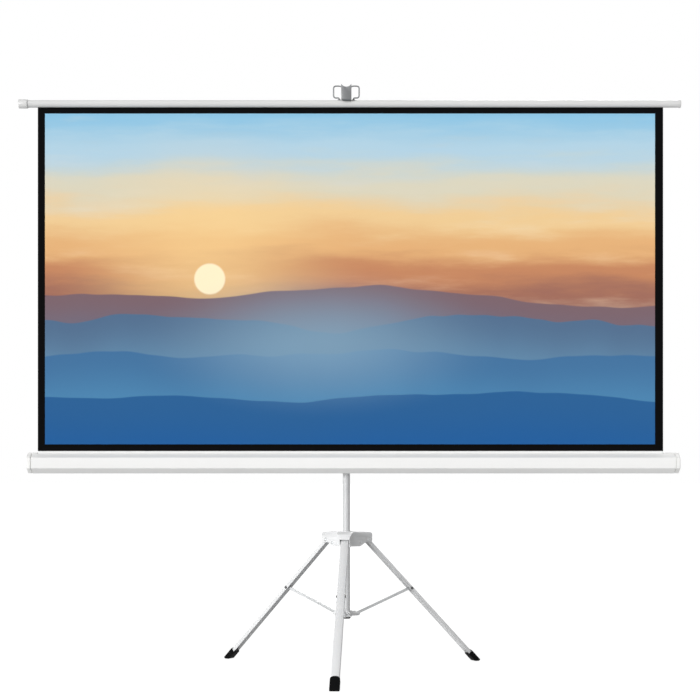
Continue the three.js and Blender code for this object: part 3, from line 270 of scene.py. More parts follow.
def math_node(tree, operation, first, second=0):
    node = tree.nodes.new("ShaderNodeMath")
    node.operation = operation
    for socket, value in zip(node.inputs, (first, second)):
        if isinstance(value, (int, float)):
            socket.default_value = value
        else:
            tree.links.new(value, socket)
    return node.outputs[0]


def mix_colour(tree, factor, first, second):
    node = tree.nodes.new("ShaderNodeMix")
    node.data_type = "RGBA"
    for place, value in ((MIX_SHARE, factor), (MIX_FIRST, first), (MIX_SECOND, second)):
        socket = node.inputs[place]
        if isinstance(value, (int, float)):
            socket.default_value = value
        elif isinstance(value, tuple):
            socket.default_value = (*value, 1)
        else:
            tree.links.new(value, socket)
    return node.outputs[MIX_RESULT]


def noise(tree, vector, scale, detail=3.0, rough=0.5):
    node = tree.nodes.new("ShaderNodeTexNoise")
    node.inputs["Scale"].default_value = scale
    node.inputs["Detail"].default_value = detail
    node.inputs["Roughness"].default_value = rough
    tree.links.new(vector, node.inputs["Vector"])
    return node.outputs["Fac"]


def range_node(tree, value, low, high, to_low, to_high, smooth=False):
    node = tree.nodes.new("ShaderNodeMapRange")
    node.interpolation_type = "SMOOTHSTEP" if smooth else "LINEAR"
    tree.links.new(value, node.inputs["Value"])
    names = ("From Min", "From Max", "To Min", "To Max")
    for label, limit in zip(names, (low, high, to_low, to_high)):
        if isinstance(limit, (int, float)):
            node.inputs[label].default_value = limit
        else:
            tree.links.new(limit, node.inputs[label])
    return node.outputs["Result"]


def make_finish_group():
    """Patchy colour, uneven gloss and a fine grain, shared by paint, plastic, metal and rubber."""
    tree, given, made = new_group(
        "surface_finish",
        [
            ("Colour", "NodeSocketColor", (0.8, 0.8, 0.8, 1)),
            ("Shade", "NodeSocketColor", (0.7, 0.7, 0.7, 1)),
            ("Patch Scale", "NodeSocketFloat", 6.0),
            ("Patch Amount", "NodeSocketFloat", 0.3),
            ("Grain Scale", "NodeSocketFloat", 600.0),
            ("Gloss Low", "NodeSocketFloat", 0.35),
            ("Gloss High", "NodeSocketFloat", 0.5),
        ],
        [
            ("Colour", "NodeSocketColor"),
            ("Roughness", "NodeSocketFloat"),
            ("Height", "NodeSocketFloat"),
        ],
    )
    place = tree.nodes.new("ShaderNodeTexCoord").outputs["Object"]
    patch = tree.nodes.new("ShaderNodeTexNoise")
    patch.inputs["Detail"].default_value = 4
    tree.links.new(place, patch.inputs["Vector"])
    tree.links.new(given.outputs["Patch Scale"], patch.inputs["Scale"])
    grain = tree.nodes.new("ShaderNodeTexNoise")
    grain.inputs["Detail"].default_value = 2
    tree.links.new(place, grain.inputs["Vector"])
    tree.links.new(given.outputs["Grain Scale"], grain.inputs["Scale"])
    share = range_node(tree, patch.outputs["Fac"], 0.35, 0.75, 0.0, given.outputs["Patch Amount"])
    colour = mix_colour(tree, share, given.outputs["Colour"], given.outputs["Shade"])
    fleck = range_node(tree, grain.outputs["Fac"], 0.3, 0.7, 0.97, 1.03)
    shaded = tree.nodes.new("ShaderNodeVectorMath")
    shaded.operation = "SCALE"
    tree.links.new(colour, shaded.inputs[0])
    tree.links.new(fleck, shaded.inputs["Scale"])
    blur = math_node(tree, "ADD", patch.outputs["Fac"], grain.outputs["Fac"])
    gloss = range_node(tree, blur, 0.7, 1.3, given.outputs["Gloss Low"], given.outputs["Gloss High"])
    tree.links.new(shaded.outputs[0], made.inputs["Colour"])
    tree.links.new(gloss, made.inputs["Roughness"])
    tree.links.new(grain.outputs["Fac"], made.inputs["Height"])
    return tree


finish_group = make_finish_group()


def new_material(name):
    material = bpy.data.materials.new(name)
    material.use_nodes = True
    return material, material.node_tree


def set_bump(tree, shader, height, strength, distance):
    bump = tree.nodes.new("ShaderNodeBump")
    bump.inputs["Strength"].default_value = strength
    bump.inputs["Distance"].default_value = distance
    tree.links.new(height, bump.inputs["Height"])
    tree.links.new(bump.outputs["Normal"], shader.inputs["Normal"])


def finish_material(name, colour, shade, patch, amount, grain, gloss, bump, metallic=0.0, specular=0.5):
    """A material whose patches and grain come from the shared finish."""
    material, tree = new_material(name)
    shader = tree.nodes["Principled BSDF"]
    surface = tree.nodes.new("ShaderNodeGroup")
    surface.node_tree = finish_group
    surface.inputs["Colour"].default_value = (*colour, 1)
    surface.inputs["Shade"].default_value = (*shade, 1)
    surface.inputs["Patch Scale"].default_value = patch
    surface.inputs["Patch Amount"].default_value = amount
    surface.inputs["Grain Scale"].default_value = grain
    surface.inputs["Gloss Low"].default_value = gloss[0]
    surface.inputs["Gloss High"].default_value = gloss[1]
    shader.inputs["Metallic"].default_value = metallic
    shader.inputs["Specular IOR Level"].default_value = specular
    tree.links.new(surface.outputs["Colour"], shader.inputs["Base Color"])
    tree.links.new(surface.outputs["Roughness"], shader.inputs["Roughness"])
    set_bump(tree, shader, surface.outputs["Height"], bump, GRAIN_DEPTH)
    return material


def powder_coat():
    return finish_material(
        "white_powder_coat", colour=(0.87, 0.87, 0.86), shade=(0.8, 0.8, 0.79),
        patch=3.0, amount=0.35, grain=900, gloss=(0.38, 0.5), bump=0.04, specular=0.4)


# Painted shade: a darker copy of the white powder coat for the hub, collar and legs, standing for the shade that
# falls on them
def stand_coat_with_painted_shade():
    return finish_material(
        "white_powder_coat_painted_shade_stand", colour=(0.77, 0.775, 0.78), shade=(0.71, 0.715, 0.72),
        patch=3.0, amount=0.35, grain=900, gloss=(0.38, 0.5), bump=0.04, specular=0.4)


# Painted shade: a darker copy of the white coat for the mast tube and its collar, standing for the shade that
# falls on them
def mast_coat_with_painted_shade():
    return finish_material(
        "white_coat_painted_shade_mast", colour=(0.61, 0.615, 0.62), shade=(0.56, 0.565, 0.57),
        patch=3.0, amount=0.35, grain=900, gloss=(0.36, 0.48), bump=0.04)


# Painted shade: a darker copy of the white paint for the bar, ferrule and plug, one tone between the bar's lit top
# and its shaded underside
def bar_enamel_with_painted_shade():
    return finish_material(
        "bar_enamel_painted_shade", colour=(0.66, 0.66, 0.655), shade=(0.6, 0.6, 0.595),
        patch=4.0, amount=0.35, grain=900, gloss=(0.3, 0.42), bump=0.03)


def moulded_white():
    return finish_material(
        "white_moulded_plastic", colour=(0.88, 0.88, 0.865), shade=(0.82, 0.82, 0.8),
        patch=8.0, amount=0.3, grain=1400, gloss=(0.42, 0.55), bump=0.04, specular=0.4)


def zinc_plate():
    return finish_material(
        "zinc_plated_steel", colour=(0.56, 0.57, 0.575), shade=(0.47, 0.48, 0.49),
        patch=14.0, amount=0.5, grain=900, gloss=(0.36, 0.5), bump=0.03, metallic=0.5)


def satin_steel():
    return finish_material(
        "satin_grey_steel", colour=(0.2, 0.205, 0.21), shade=(0.15, 0.155, 0.16),
        patch=18.0, amount=0.5, grain=900, gloss=(0.3, 0.44), bump=0.03, metallic=0.6)


def dark_plate():
    return finish_material(
        "dark_plated_steel", colour=(0.1, 0.102, 0.105), shade=(0.06, 0.06, 0.063),
        patch=60.0, amount=0.5, grain=800, gloss=(0.32, 0.5), bump=0.05, metallic=0.6)


def boot_rubber():
    return finish_material(
        "black_boot_rubber", colour=(0.003, 0.003, 0.0032), shade=(0.006, 0.006, 0.006),
        patch=22.0, amount=0.5, grain=700, gloss=(0.6, 0.78), bump=0.2, specular=0.05)


def moulded_black():
    return finish_material(
        "black_moulded_plastic", colour=(0.018, 0.018, 0.019), shade=(0.03, 0.03, 0.032),
        patch=30.0, amount=0.4, grain=1100, gloss=(0.45, 0.62), bump=0.12, specular=0.3)


def woven_height(tree, place, threads):
    """Crossed threads of a fine plain weave."""
    spread = tree.nodes.new("ShaderNodeSeparateXYZ")
    tree.links.new(place, spread.inputs[0])
    waves = []
    for side in (0, 1):
        turned_angle = math_node(tree, "MULTIPLY", spread.outputs[side], threads * 2 * math.pi)
        waves.append(math_node(tree, "SINE", turned_angle))
    return math_node(tree, "MULTIPLY", waves[0], waves[1])


def cloth_back():
    material, tree = new_material("black_cloth_back")
    shader = tree.nodes["Principled BSDF"]
    place = tree.nodes.new("ShaderNodeUVMap").outputs["UV"]
    patch = noise(tree, place, scale=5.0, detail=5.0)
    share = range_node(tree, patch, 0.35, 0.7, 0.0, 1.0)
    colour = mix_colour(tree, share, (0.012, 0.012, 0.013), (0.022, 0.022, 0.024))
    tree.links.new(colour, shader.inputs["Base Color"])
    shader.inputs["Roughness"].default_value = 0.78
    shader.inputs["Specular IOR Level"].default_value = 0.12
    set_bump(tree, shader, woven_height(tree, place, BACK_THREADS), 0.25, 0.0003)
    return material


def sky_colour(tree, across, up):
    """Evening sky: blue above, pale in the middle, amber near the skyline, with thin streaks of cloud."""
    stretched = tree.nodes.new("ShaderNodeCombineXYZ")
    tree.links.new(math_node(tree, "MULTIPLY", across, STREAK_ACROSS), stretched.inputs[0])
    tree.links.new(math_node(tree, "MULTIPLY", up, STREAK_UP), stretched.inputs[1])
    streak = noise(tree, stretched.outputs[0], scale=2.2, detail=6.0, rough=0.55)
    drift = range_node(tree, streak, 0.3, 0.7, -STREAK_DRIFT, STREAK_DRIFT)
    ramp = tree.nodes.new("ShaderNodeValToRGB")
    ramp.color_ramp.interpolation = "EASE"
    # Height in the picture, and the colour there
    stops = [
        (0.44, (0.34, 0.15, 0.11)),
        (0.52, (0.55, 0.24, 0.12)),
        (0.6, (0.76, 0.43, 0.19)),
        (0.68, (0.83, 0.58, 0.29)),
        (0.78, (0.68, 0.64, 0.5)),
        (0.89, (0.43, 0.62, 0.74)),
        (1.0, (0.26, 0.53, 0.73)),
    ]
    elements = ramp.color_ramp.elements
    while len(elements) < len(stops):
        elements.new(0.5)
    for element, (spot, colour) in zip(elements, stops):
        element.position = spot
        element.color = (*colour, 1)
    tree.links.new(math_node(tree, "ADD", up, drift), ramp.inputs["Fac"])
    wisp = range_node(tree, streak, 0.52, 0.78, 0.0, STREAK_SHARE, smooth=True)
    return mix_colour(tree, wisp, ramp.outputs["Color"], (0.86, 0.72, 0.55))


def reach_from(tree, across, up, at, squeeze):
    """How far each place lies from a point of the picture, with widths squeezed by a factor."""
    side = math_node(tree, "SUBTRACT", across, at[0])
    side = math_node(tree, "MULTIPLY", side, squeeze)
    rise = math_node(tree, "SUBTRACT", up, at[1])
    square = math_node(tree, "ADD",
                       math_node(tree, "MULTIPLY", side, side),
                       math_node(tree, "MULTIPLY", rise, rise))
    return math_node(tree, "SQRT", square)


def sun_share(tree, across, up):
    """A low sun with a wide glow, on the left third of the picture."""
    reach = reach_from(tree, across, up, SUN_PLACE, SUN_SQUEEZE)
    glow = range_node(tree, reach, 0.0, GLOW_REACH, GLOW_SHARE, 0.0, smooth=True)
    disc = range_node(tree, reach, SUN_RADIUS, SUN_RIM, 1.0, 0.0, smooth=True)
    return glow, disc


def ridge_layer(tree, under, across, up, base, height, scale, seed, colour, mist):
    """One row of hills over what lies behind it: crest line from noise, hazier towards its foot."""
    spot = tree.nodes.new("ShaderNodeCombineXYZ")
    tree.links.new(across, spot.inputs[0])
    spot.inputs[1].default_value = seed
    swell = noise(tree, spot.outputs[0], scale, detail=3.0, rough=0.42)
    crest = range_node(tree, swell, 0.25, 0.75, base - height, base + height)
    depth = math_node(tree, "SUBTRACT", crest, up)
    share = range_node(tree, depth, *CREST_SOFT, 0.0, 1.0, smooth=True)
    haze = range_node(tree, depth, 0.0, HAZE_DEPTH, 0.0, 1.0, smooth=True)
    face = mix_colour(tree, haze, colour, mist)
    return mix_colour(tree, share, under, face)


def evening_picture(tree, across, up):
    """An evening over rows of hills, with a low sun and haze in the valley."""
    glow, disc = sun_share(tree, across, up)
    picture = sky_colour(tree, across, up)
    picture = mix_colour(tree, glow, picture, (0.95, 0.66, 0.3))
    picture = mix_colour(tree, disc, picture, (1.0, 0.86, 0.58))
    # Crest height, swell, scale and seed of each row, its colour and its mist
    layers = [
        (0.455, 0.05, 2.6, 1.3, (0.2, 0.13, 0.15), (0.13, 0.17, 0.26)),
        (0.375, 0.06, 3.4, 4.7, (0.09, 0.16, 0.27), (0.13, 0.27, 0.42)),
        (0.265, 0.055, 2.8, 8.2, (0.06, 0.17, 0.34), (0.08, 0.25, 0.45)),
        (0.13, 0.05, 2.2, 12.9, (0.028, 0.12, 0.3), (0.018, 0.11, 0.33)),
    ]
    for base, height, scale, seed, colour, mist in layers:
        picture = ridge_layer(tree, picture, across, up, base, height, scale, seed, colour, mist)
    valley = reach_from(tree, across, up, VALLEY_PLACE, VALLEY_SQUEEZE)
    haze = range_node(tree, valley, 0.0, VALLEY_REACH, VALLEY_SHARE, 0.0, smooth=True)
    return mix_colour(tree, haze, picture, (0.26, 0.42, 0.55))


def screen_print():
    """Printed face of the cloth: an evening over hills, inside a black border, on a white leader."""
    material, tree = new_material("printed_screen_cloth")
    shader = tree.nodes["Principled BSDF"]
    place = tree.nodes.new("ShaderNodeUVMap").outputs["UV"]
    spread = tree.nodes.new("ShaderNodeSeparateXYZ")
    tree.links.new(place, spread.inputs[0])
    flat_x, flat_z = spread.outputs[0], spread.outputs[1]
    left, right = PICTURE_LEFT - sheet_low.x, PICTURE_RIGHT - sheet_low.x
    low, high = PICTURE_LOW - sheet_low.z, PICTURE_HIGH - sheet_low.z
    across = range_node(tree, flat_x, left, right, 0.0, 1.0)
    up = range_node(tree, flat_z, low, high, 0.0, 1.0)
    picture = evening_picture(tree, across, up)
    inside = math_node(tree, "GREATER_THAN", flat_x, left)
    limits = (("LESS_THAN", flat_x, right), ("GREATER_THAN", flat_z, low), ("LESS_THAN", flat_z, high))
    for limit in limits:
        inside = math_node(tree, "MULTIPLY", inside, math_node(tree, *limit))
    leader = math_node(tree, "LESS_THAN", flat_z, BORDER_LOW - sheet_low.z)
    ground = mix_colour(tree, leader, (0.0032, 0.0032, 0.0036), (0.86, 0.86, 0.855))
    tree.links.new(mix_colour(tree, inside, ground, picture), shader.inputs["Base Color"])
    grain = noise(tree, place, scale=700.0, detail=2.0)
    tree.links.new(range_node(tree, grain, 0.3, 0.7, 0.66, 0.8), shader.inputs["Roughness"])
    shader.inputs["Specular IOR Level"].default_value = 0.025
    set_bump(tree, shader, woven_height(tree, place, PRINT_THREADS), 0.12, 0.0002)
    return material


WHITE_PAINT = powder_coat()
STAND_PAINTED_SHADE = stand_coat_with_painted_shade()
MAST_PAINTED_SHADE = mast_coat_with_painted_shade()
BAR_PAINTED_SHADE = bar_enamel_with_painted_shade()
WHITE_PLASTIC = moulded_white()
PALE_STEEL = zinc_plate()
GREY_STEEL = satin_steel()
DARK_STEEL = dark_plate()
RUBBER = boot_rubber()
BLACK_PLASTIC = moulded_black()
CLOTH_BACK = cloth_back()
CLOTH_PRINT = screen_print()

SLOT_MATERIALS = {
    "white_paint": WHITE_PAINT,
    "white_plastic": WHITE_PLASTIC,
    "pale_steel": PALE_STEEL,
    "grey_steel": GREY_STEEL,
    "dark_steel": DARK_STEEL,
    "black_rubber": RUBBER,
    "black_plastic": BLACK_PLASTIC,
    "screen_cloth": CLOTH_BACK,
}
STAND_NODES = ("spider_collar", "tripod_hub", *(f"leg_{side}" for side in LIMB_SIDES))
MAST_NODES = ("mast_outer_tube", "mast_lock_collar")
BAR_NODES = ("top_bar", "top_bar_ferrule", "top_bar_end_plug")
# The stand, mast and bar take darker copies of the white paint: painted shade in place of the shade that falls on
# them
NODE_PAINTED_SHADE_FINISHES = {
    **dict.fromkeys(STAND_NODES, STAND_PAINTED_SHADE),
    **dict.fromkeys(MAST_NODES, MAST_PAINTED_SHADE),
    **dict.fromkeys(BAR_NODES, BAR_PAINTED_SHADE),
}
NODE_SLOTS = {part["node"]: part["material_slot"] for part in frame["record"]["subparts"]}
NODE_BODIES = {
    node: body for body, nodes in frame["record"]["behaviour"]["bodies"].items() for node in nodes
}


def finish_of(node):
    return NODE_PAINTED_SHADE_FINISHES.get(node, SLOT_MATERIALS[NODE_SLOTS[node]])


# Mesh helpers
def link(name, mesh):
    piece = bpy.data.objects.new(name, mesh)
    bpy.context.scene.collection.objects.link(piece)
    return piece


def shade(mesh):
    mesh.polygons.foreach_set("use_smooth", [True] * len(mesh.polygons))
    mesh.set_sharp_from_angle(angle=SMOOTH_ANGLE)


def mesh_from(name, verts, faces):
    mesh = bpy.data.meshes.new(name)
    mesh.from_pydata([tuple(v) for v in verts], [], faces)
    shape = bmesh.new()
    shape.from_mesh(mesh)
    bmesh.ops.recalc_face_normals(shape, faces=shape.faces)
    shape.to_mesh(mesh)
    shape.free()
    shade(mesh)
    return mesh


def plain(piece, name):
    """The piece with its modifiers applied, as a new object with a plain mesh."""
    depsgraph = bpy.context.evaluated_depsgraph_get()
    mesh = bpy.data.meshes.new_from_object(piece.evaluated_get(depsgraph), depsgraph=depsgraph)
    bpy.data.objects.remove(piece)
    shade(mesh)
    return link(name, mesh)


def stand_for(piece, *nodes):
    """The piece takes the place, body, slot and finish of the nodes it is made for."""
    if not piece.data.materials:
        piece.data.materials.append(finish_of(nodes[0]))
    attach(piece, NODE_BODIES[nodes[0]])
    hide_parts(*nodes)
    return piece


AXES = {
    "x": Matrix(((0, 0, 1), (1, 0, 0), (0, 1, 0))),
    "y": Matrix(((1, 0, 0), (0, 0, 1), (0, -1, 0))),
    "z": Matrix.Identity(3),
}


def turned(name, axis, at, profile, steps=TUBE_STEPS):
    """A profile of (radius, place along the axis[, lobe depth]) points turned round an axis."""
    basis = AXES[axis] if isinstance(axis, str) else axis
    verts, rings, faces = [], [], []
    for radius, along, *lobe in profile:
        depth = lobe[0] if lobe else 0
        count = steps if radius > 0 else 1
        ring = []
        for i in range(count):
            angle = 2 * math.pi * i / steps
            reach = radius - depth * (1 - math.cos(KNOB_LOBES * angle)) / 2
            ring.append(len(verts))
            verts.append(at + basis @ Vector((reach * math.cos(angle), reach * math.sin(angle), along)))
        rings.append(ring)
    pairs = list(zip(rings, rings[1:]))
    if profile[0][0] > 0:
        pairs.append((rings[-1], rings[0]))
    for first, second in pairs:
        for i in range(steps):
            corners = [first[i % len(first)], first[(i + 1) % len(first)],
                       second[(i + 1) % len(second)], second[i % len(second)]]
            face = list(dict.fromkeys(corners))
            if len(face) > 2:
                faces.append(face)
    return link(name, mesh_from(name, verts, faces))


def lofted(name, rings):
    """A closed solid through rings of the same number of points, capped at both ends."""
    count = len(rings[0])
    verts = [v for ring in rings for v in ring]
    faces = [list(range(count)), list(range(len(verts) - count, len(verts)))]
    for k in range(len(rings) - 1):
        for i in range(count):
            after = (i + 1) % count
            faces.append([k * count + i, k * count + after, (k + 1) * count + after, (k + 1) * count + i])
    return link(name, mesh_from(name, verts, faces))


def wire(name, path, radius, sides=5):
    """A round wire along a path of points."""
    curve = bpy.data.curves.new(name, "CURVE")
    curve.dimensions = "3D"
    curve.bevel_depth = radius
    curve.bevel_resolution = sides
    curve.use_fill_caps = True
    spline = curve.splines.new("POLY")
    spline.points.add(len(path) - 1)
    for point, place in zip(spline.points, path):
        point.co = (*place, 1)
    return plain(link(name + "_line", curve), name)


def dressed(node, width, segments=2, toe_share=1.0):
    """A copy of a sheet or moulded piece with its edges broken, as pressing and coating leave them.

    Edges that lie wholly near the floor are rounded toe_share times as much as the others.
    """
    shape = bmesh.new()
    shape.from_mesh(frame["nodes"][node].data)
    bmesh.ops.remove_doubles(shape, verts=shape.verts, dist=MERGE_REACH)
    bmesh.ops.dissolve_limit(shape, angle_limit=FLAT_ANGLE, verts=shape.verts, edges=shape.edges)
    weight = shape.edges.layers.float.new("bevel_weight_edge")
    for edge in shape.edges:
        if edge.calc_face_angle(0) > EDGE_ANGLE:
            in_toe = all(corner.co.z < TOE_HEIGHT for corner in edge.verts)
            edge[weight] = 1 if in_toe else 1 / toe_share
    mesh = bpy.data.meshes.new(node + "_raw")
    shape.to_mesh(mesh)
    shape.free()
    piece = link(node + "_raw", mesh)
    bevel = piece.modifiers.new("edges", "BEVEL")
    bevel.width = width * toe_share
    bevel.segments = segments
    bevel.limit_method = "WEIGHT"
    bevel.use_clamp_overlap = False
    weld = piece.modifiers.new("weld", "WELD")
    weld.merge_threshold = MERGE_REACH
    return stand_for(plain(piece, node + "_dressed"), node)


# Geometry node trees for the fasteners
def repeat_tree(name, inputs):
    tree = bpy.data.node_groups.new(name, "GeometryNodeTree")
    tree.is_modifier = True
    for label, kind in [("Piece", "NodeSocketObject"), ("Finish", "NodeSocketMaterial"), *inputs]:
        tree.interface.new_socket(label, in_out="INPUT", socket_type=kind)
    tree.interface.new_socket("Geometry", in_out="OUTPUT", socket_type="NodeSocketGeometry")
    given = tree.nodes.new("NodeGroupInput")
    made = tree.nodes.new("NodeGroupOutput")
    pattern = tree.nodes.new("GeometryNodeObjectInfo")
    spread = tree.nodes.new("GeometryNodeInstanceOnPoints")
    real = tree.nodes.new("GeometryNodeRealizeInstances")
    coat = tree.nodes.new("GeometryNodeSetMaterial")
    tree.links.new(given.outputs["Piece"], pattern.inputs["Object"])
    tree.links.new(pattern.outputs["Geometry"], spread.inputs["Instance"])
    tree.links.new(spread.outputs["Instances"], real.inputs["Geometry"])
    tree.links.new(real.outputs["Geometry"], coat.inputs["Geometry"])
    tree.links.new(given.outputs["Finish"], coat.inputs["Material"])
    tree.links.new(coat.outputs["Geometry"], made.inputs["Geometry"])
    return tree, given, spread


def round_axis_tree():
    """Copies of a piece set round an upright axis."""
    tree, given, spread = repeat_tree("round_the_mast", [
        ("Count", "NodeSocketInt"), ("Axis", "NodeSocketVector"),
        ("First Turn", "NodeSocketFloat"), ("Step", "NodeSocketFloat")])
    points = tree.nodes.new("GeometryNodePoints")
    index = tree.nodes.new("GeometryNodeInputIndex")
    swing = math_node(tree, "MULTIPLY", index.outputs[0], given.outputs["Step"])
    swing = math_node(tree, "ADD", swing, given.outputs["First Turn"])
    upright = tree.nodes.new("ShaderNodeCombineXYZ")
    tree.links.new(swing, upright.inputs["Z"])
    turn = tree.nodes.new("FunctionNodeEulerToRotation")
    tree.links.new(upright.outputs[0], turn.inputs[0])
    tree.links.new(given.outputs["Count"], points.inputs["Count"])
    tree.links.new(given.outputs["Axis"], points.inputs["Position"])
    tree.links.new(points.outputs[0], spread.inputs["Points"])
    tree.links.new(turn.outputs[0], spread.inputs["Rotation"])
    return tree


def rows_tree():
    """Copies of a piece in rows on an upright face."""
    tree, given, spread = repeat_tree("screw_rows", [
        ("Columns", "NodeSocketInt"), ("Rows", "NodeSocketInt"), ("Width", "NodeSocketFloat"),
        ("Height", "NodeSocketFloat"), ("Centre", "NodeSocketVector")])
    grid = tree.nodes.new("GeometryNodeMeshGrid")
    stand = tree.nodes.new("GeometryNodeTransform")
    stand.inputs["Rotation"].default_value = (math.pi / 2, 0, 0)
    pairs = (("Width", "Size X"), ("Height", "Size Y"), ("Columns", "Vertices X"), ("Rows", "Vertices Y"))
    for label, socket in pairs:
        tree.links.new(given.outputs[label], grid.inputs[socket])
    tree.links.new(grid.outputs["Mesh"], stand.inputs["Geometry"])
    tree.links.new(given.outputs["Centre"], stand.inputs["Translation"])
    tree.links.new(stand.outputs["Geometry"], spread.inputs["Points"])
    return tree


def repeated(name, tree, pattern, finish, values):
    """The copies that a tree makes of a pattern piece, as one plain mesh."""
    holder = link(name + "_set", bpy.data.meshes.new(name + "_set"))
    modifier = holder.modifiers.new("copies", "NODES")
    modifier.node_group = tree
    sockets = {item.name: item.identifier for item in tree.interface.items_tree if item.in_out == "INPUT"}
    for label, value in {"Piece": pattern, "Finish": finish, **values}.items():
        modifier[sockets[label]] = value
    return plain(holder, name)


round_axis = round_axis_tree()
screw_rows = rows_tree()


def rivet_pattern(name, at, shank, grip):
    """A pin along y with a domed head at each end, at a place in its limb's frame."""
    head = shank + RIVET_OVERHANG
    dome = [(head * math.cos(a), grip + RIVET_HEIGHT * math.sin(a)) for a in QUARTER[1:-1]]
    right = [(shank, grip), (head, grip), *dome, (0, grip + RIVET_HEIGHT)]
    profile = [(r, -y) for r, y in reversed(right)] + right
    return turned(name, "y", at, profile, FASTENER_STEPS)


def screw_pattern(name, shank, head, height, reach):
    """A pan-headed screw along y with a cross recess in its head."""
    rim = height * SCREW_RIM_SHARE
    dome = [(head * math.cos(a), rim + (height - rim) * math.sin(a)) for a in QUARTER[:-1]]
    profile = [(0, -reach), (shank, -reach), (shank, 0), (head, 0), *dome, (0, height)]
    piece = turned(name + "_blank", "y", Vector((0, 0, 0)), profile, FASTENER_STEPS)
    arm, blade = head * RECESS_ARM_SHARE, head * RECESS_BLADE_SHARE
    for size in ((arm, blade), (blade, arm)):
        cutter = link(name + "_cutter", bpy.data.meshes.new(name + "_cutter"))
        shape = bmesh.new()
        bmesh.ops.create_cube(shape, size=2)
        bmesh.ops.scale(shape, vec=(size[0], height * RECESS_HALF_SHARE, size[1]), verts=shape.verts)
        bmesh.ops.translate(shape, vec=(0, height * RECESS_MIDDLE_SHARE, 0), verts=shape.verts)
        shape.to_mesh(cutter.data)
        shape.free()
        cut = piece.modifiers.new("recess", "BOOLEAN")
        cut.object = cutter
        cut.operation = "DIFFERENCE"
        piece = plain(piece, name)
        bpy.data.objects.remove(cutter)
    return piece


def spread_rivets(name, nodes, at, shank, grip, first, finish):
    pattern = rivet_pattern(name + "_pattern", at, shank, grip)
    values = {"Count": len(nodes), "Axis": mast_axis, "First Turn": first, "Step": LIMB_STEP}
    stand_for(repeated(name, round_axis, pattern, finish, values), *nodes)
    bpy.data.objects.remove(pattern)


def grip_of(node, shank):
    """Half the length between the heads of a pin that lies across the front limb."""
    low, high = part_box(node)
    head = shank + RIVET_OVERHANG
    slant = abs(math.cos(FIRST_LIMB_TURN))
    across = (high.x - low.x) / 2 - head * slant
    return across / abs(math.sin(FIRST_LIMB_TURN)) - RIVET_HEIGHT


def make_rivets():
    hub_grip = grip_of("hub_pin_front", HUB_PIN_RADIUS)
    for kind, at, shank in (("pin", HUB_PIVOT, HUB_PIN_RADIUS), ("rivet", HUB_RIVET, HUB_RIVET_RADIUS)):
        nodes = [f"hub_{kind}_{side}" for side in LIMB_SIDES]
        spread_rivets(f"hub_{kind}s", nodes, at, shank, hub_grip, FIRST_LIMB_TURN, PALE_STEEL)
    strut_grip = grip_of("strut_pin_front", STRUT_PIN_RADIUS)
    for i, side in enumerate(LIMB_SIDES):
        spread_rivets(f"strut_rivet_{side}", [f"strut_pin_{side}"], STRUT_PIVOT, STRUT_PIN_RADIUS,
                      strut_grip, FIRST_LIMB_TURN + i * LIMB_STEP, DARK_STEEL)


def set_screws(name, nodes, pattern, columns, rows):
    """Screws in rows between the places of the first and the last of their nodes."""
    first, last = middle_of(nodes[0]), middle_of(nodes[-1])
    centre = (first + last) / 2
    centre.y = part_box(nodes[0])[1].y - SCREW_HEAD_HEIGHT
    values = {"Columns": columns, "Rows": rows, "Width": last.x - first.x,
              "Height": last.z - first.z, "Centre": centre}
    stand_for(repeated(name, screw_rows, pattern, DARK_STEEL, values), *nodes)


def make_screws():
    low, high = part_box("bracket_screw_1")
    head = (high.x - low.x) / 2
    reach = high.y - SCREW_HEAD_HEIGHT - low.y
    pattern = screw_pattern("case_screw_pattern", SCREW_SHANK, head, SCREW_HEAD_HEIGHT, reach)
    bracket_screws = [f"bracket_screw_{i}" for i in range(1, 5)]
    set_screws("bracket_screws", bracket_screws, pattern, columns=2, rows=2)
    set_screws("cap_screws", ["cap_screw_left", "cap_screw_right"], pattern, columns=2, rows=1)
    bpy.data.objects.remove(pattern)


# Tubes of the mast
def tube(node, wall, name):
    low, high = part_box(node)
    radius = (high.x - low.x) / 2
    at = middle_of(node)
    at.z = 0
    bore = radius - wall
    profile = [
        (bore, low.z + LIP_ROUND), (bore + LIP_ROUND, low.z), (radius - LIP_ROUND, low.z),
        (radius, low.z + LIP_ROUND), (radius, high.z - LIP_ROUND), (radius - LIP_ROUND, high.z),
        (bore + LIP_ROUND, high.z), (bore, high.z - LIP_ROUND),
    ]
    return stand_for(turned(name, "z", at, profile), node)


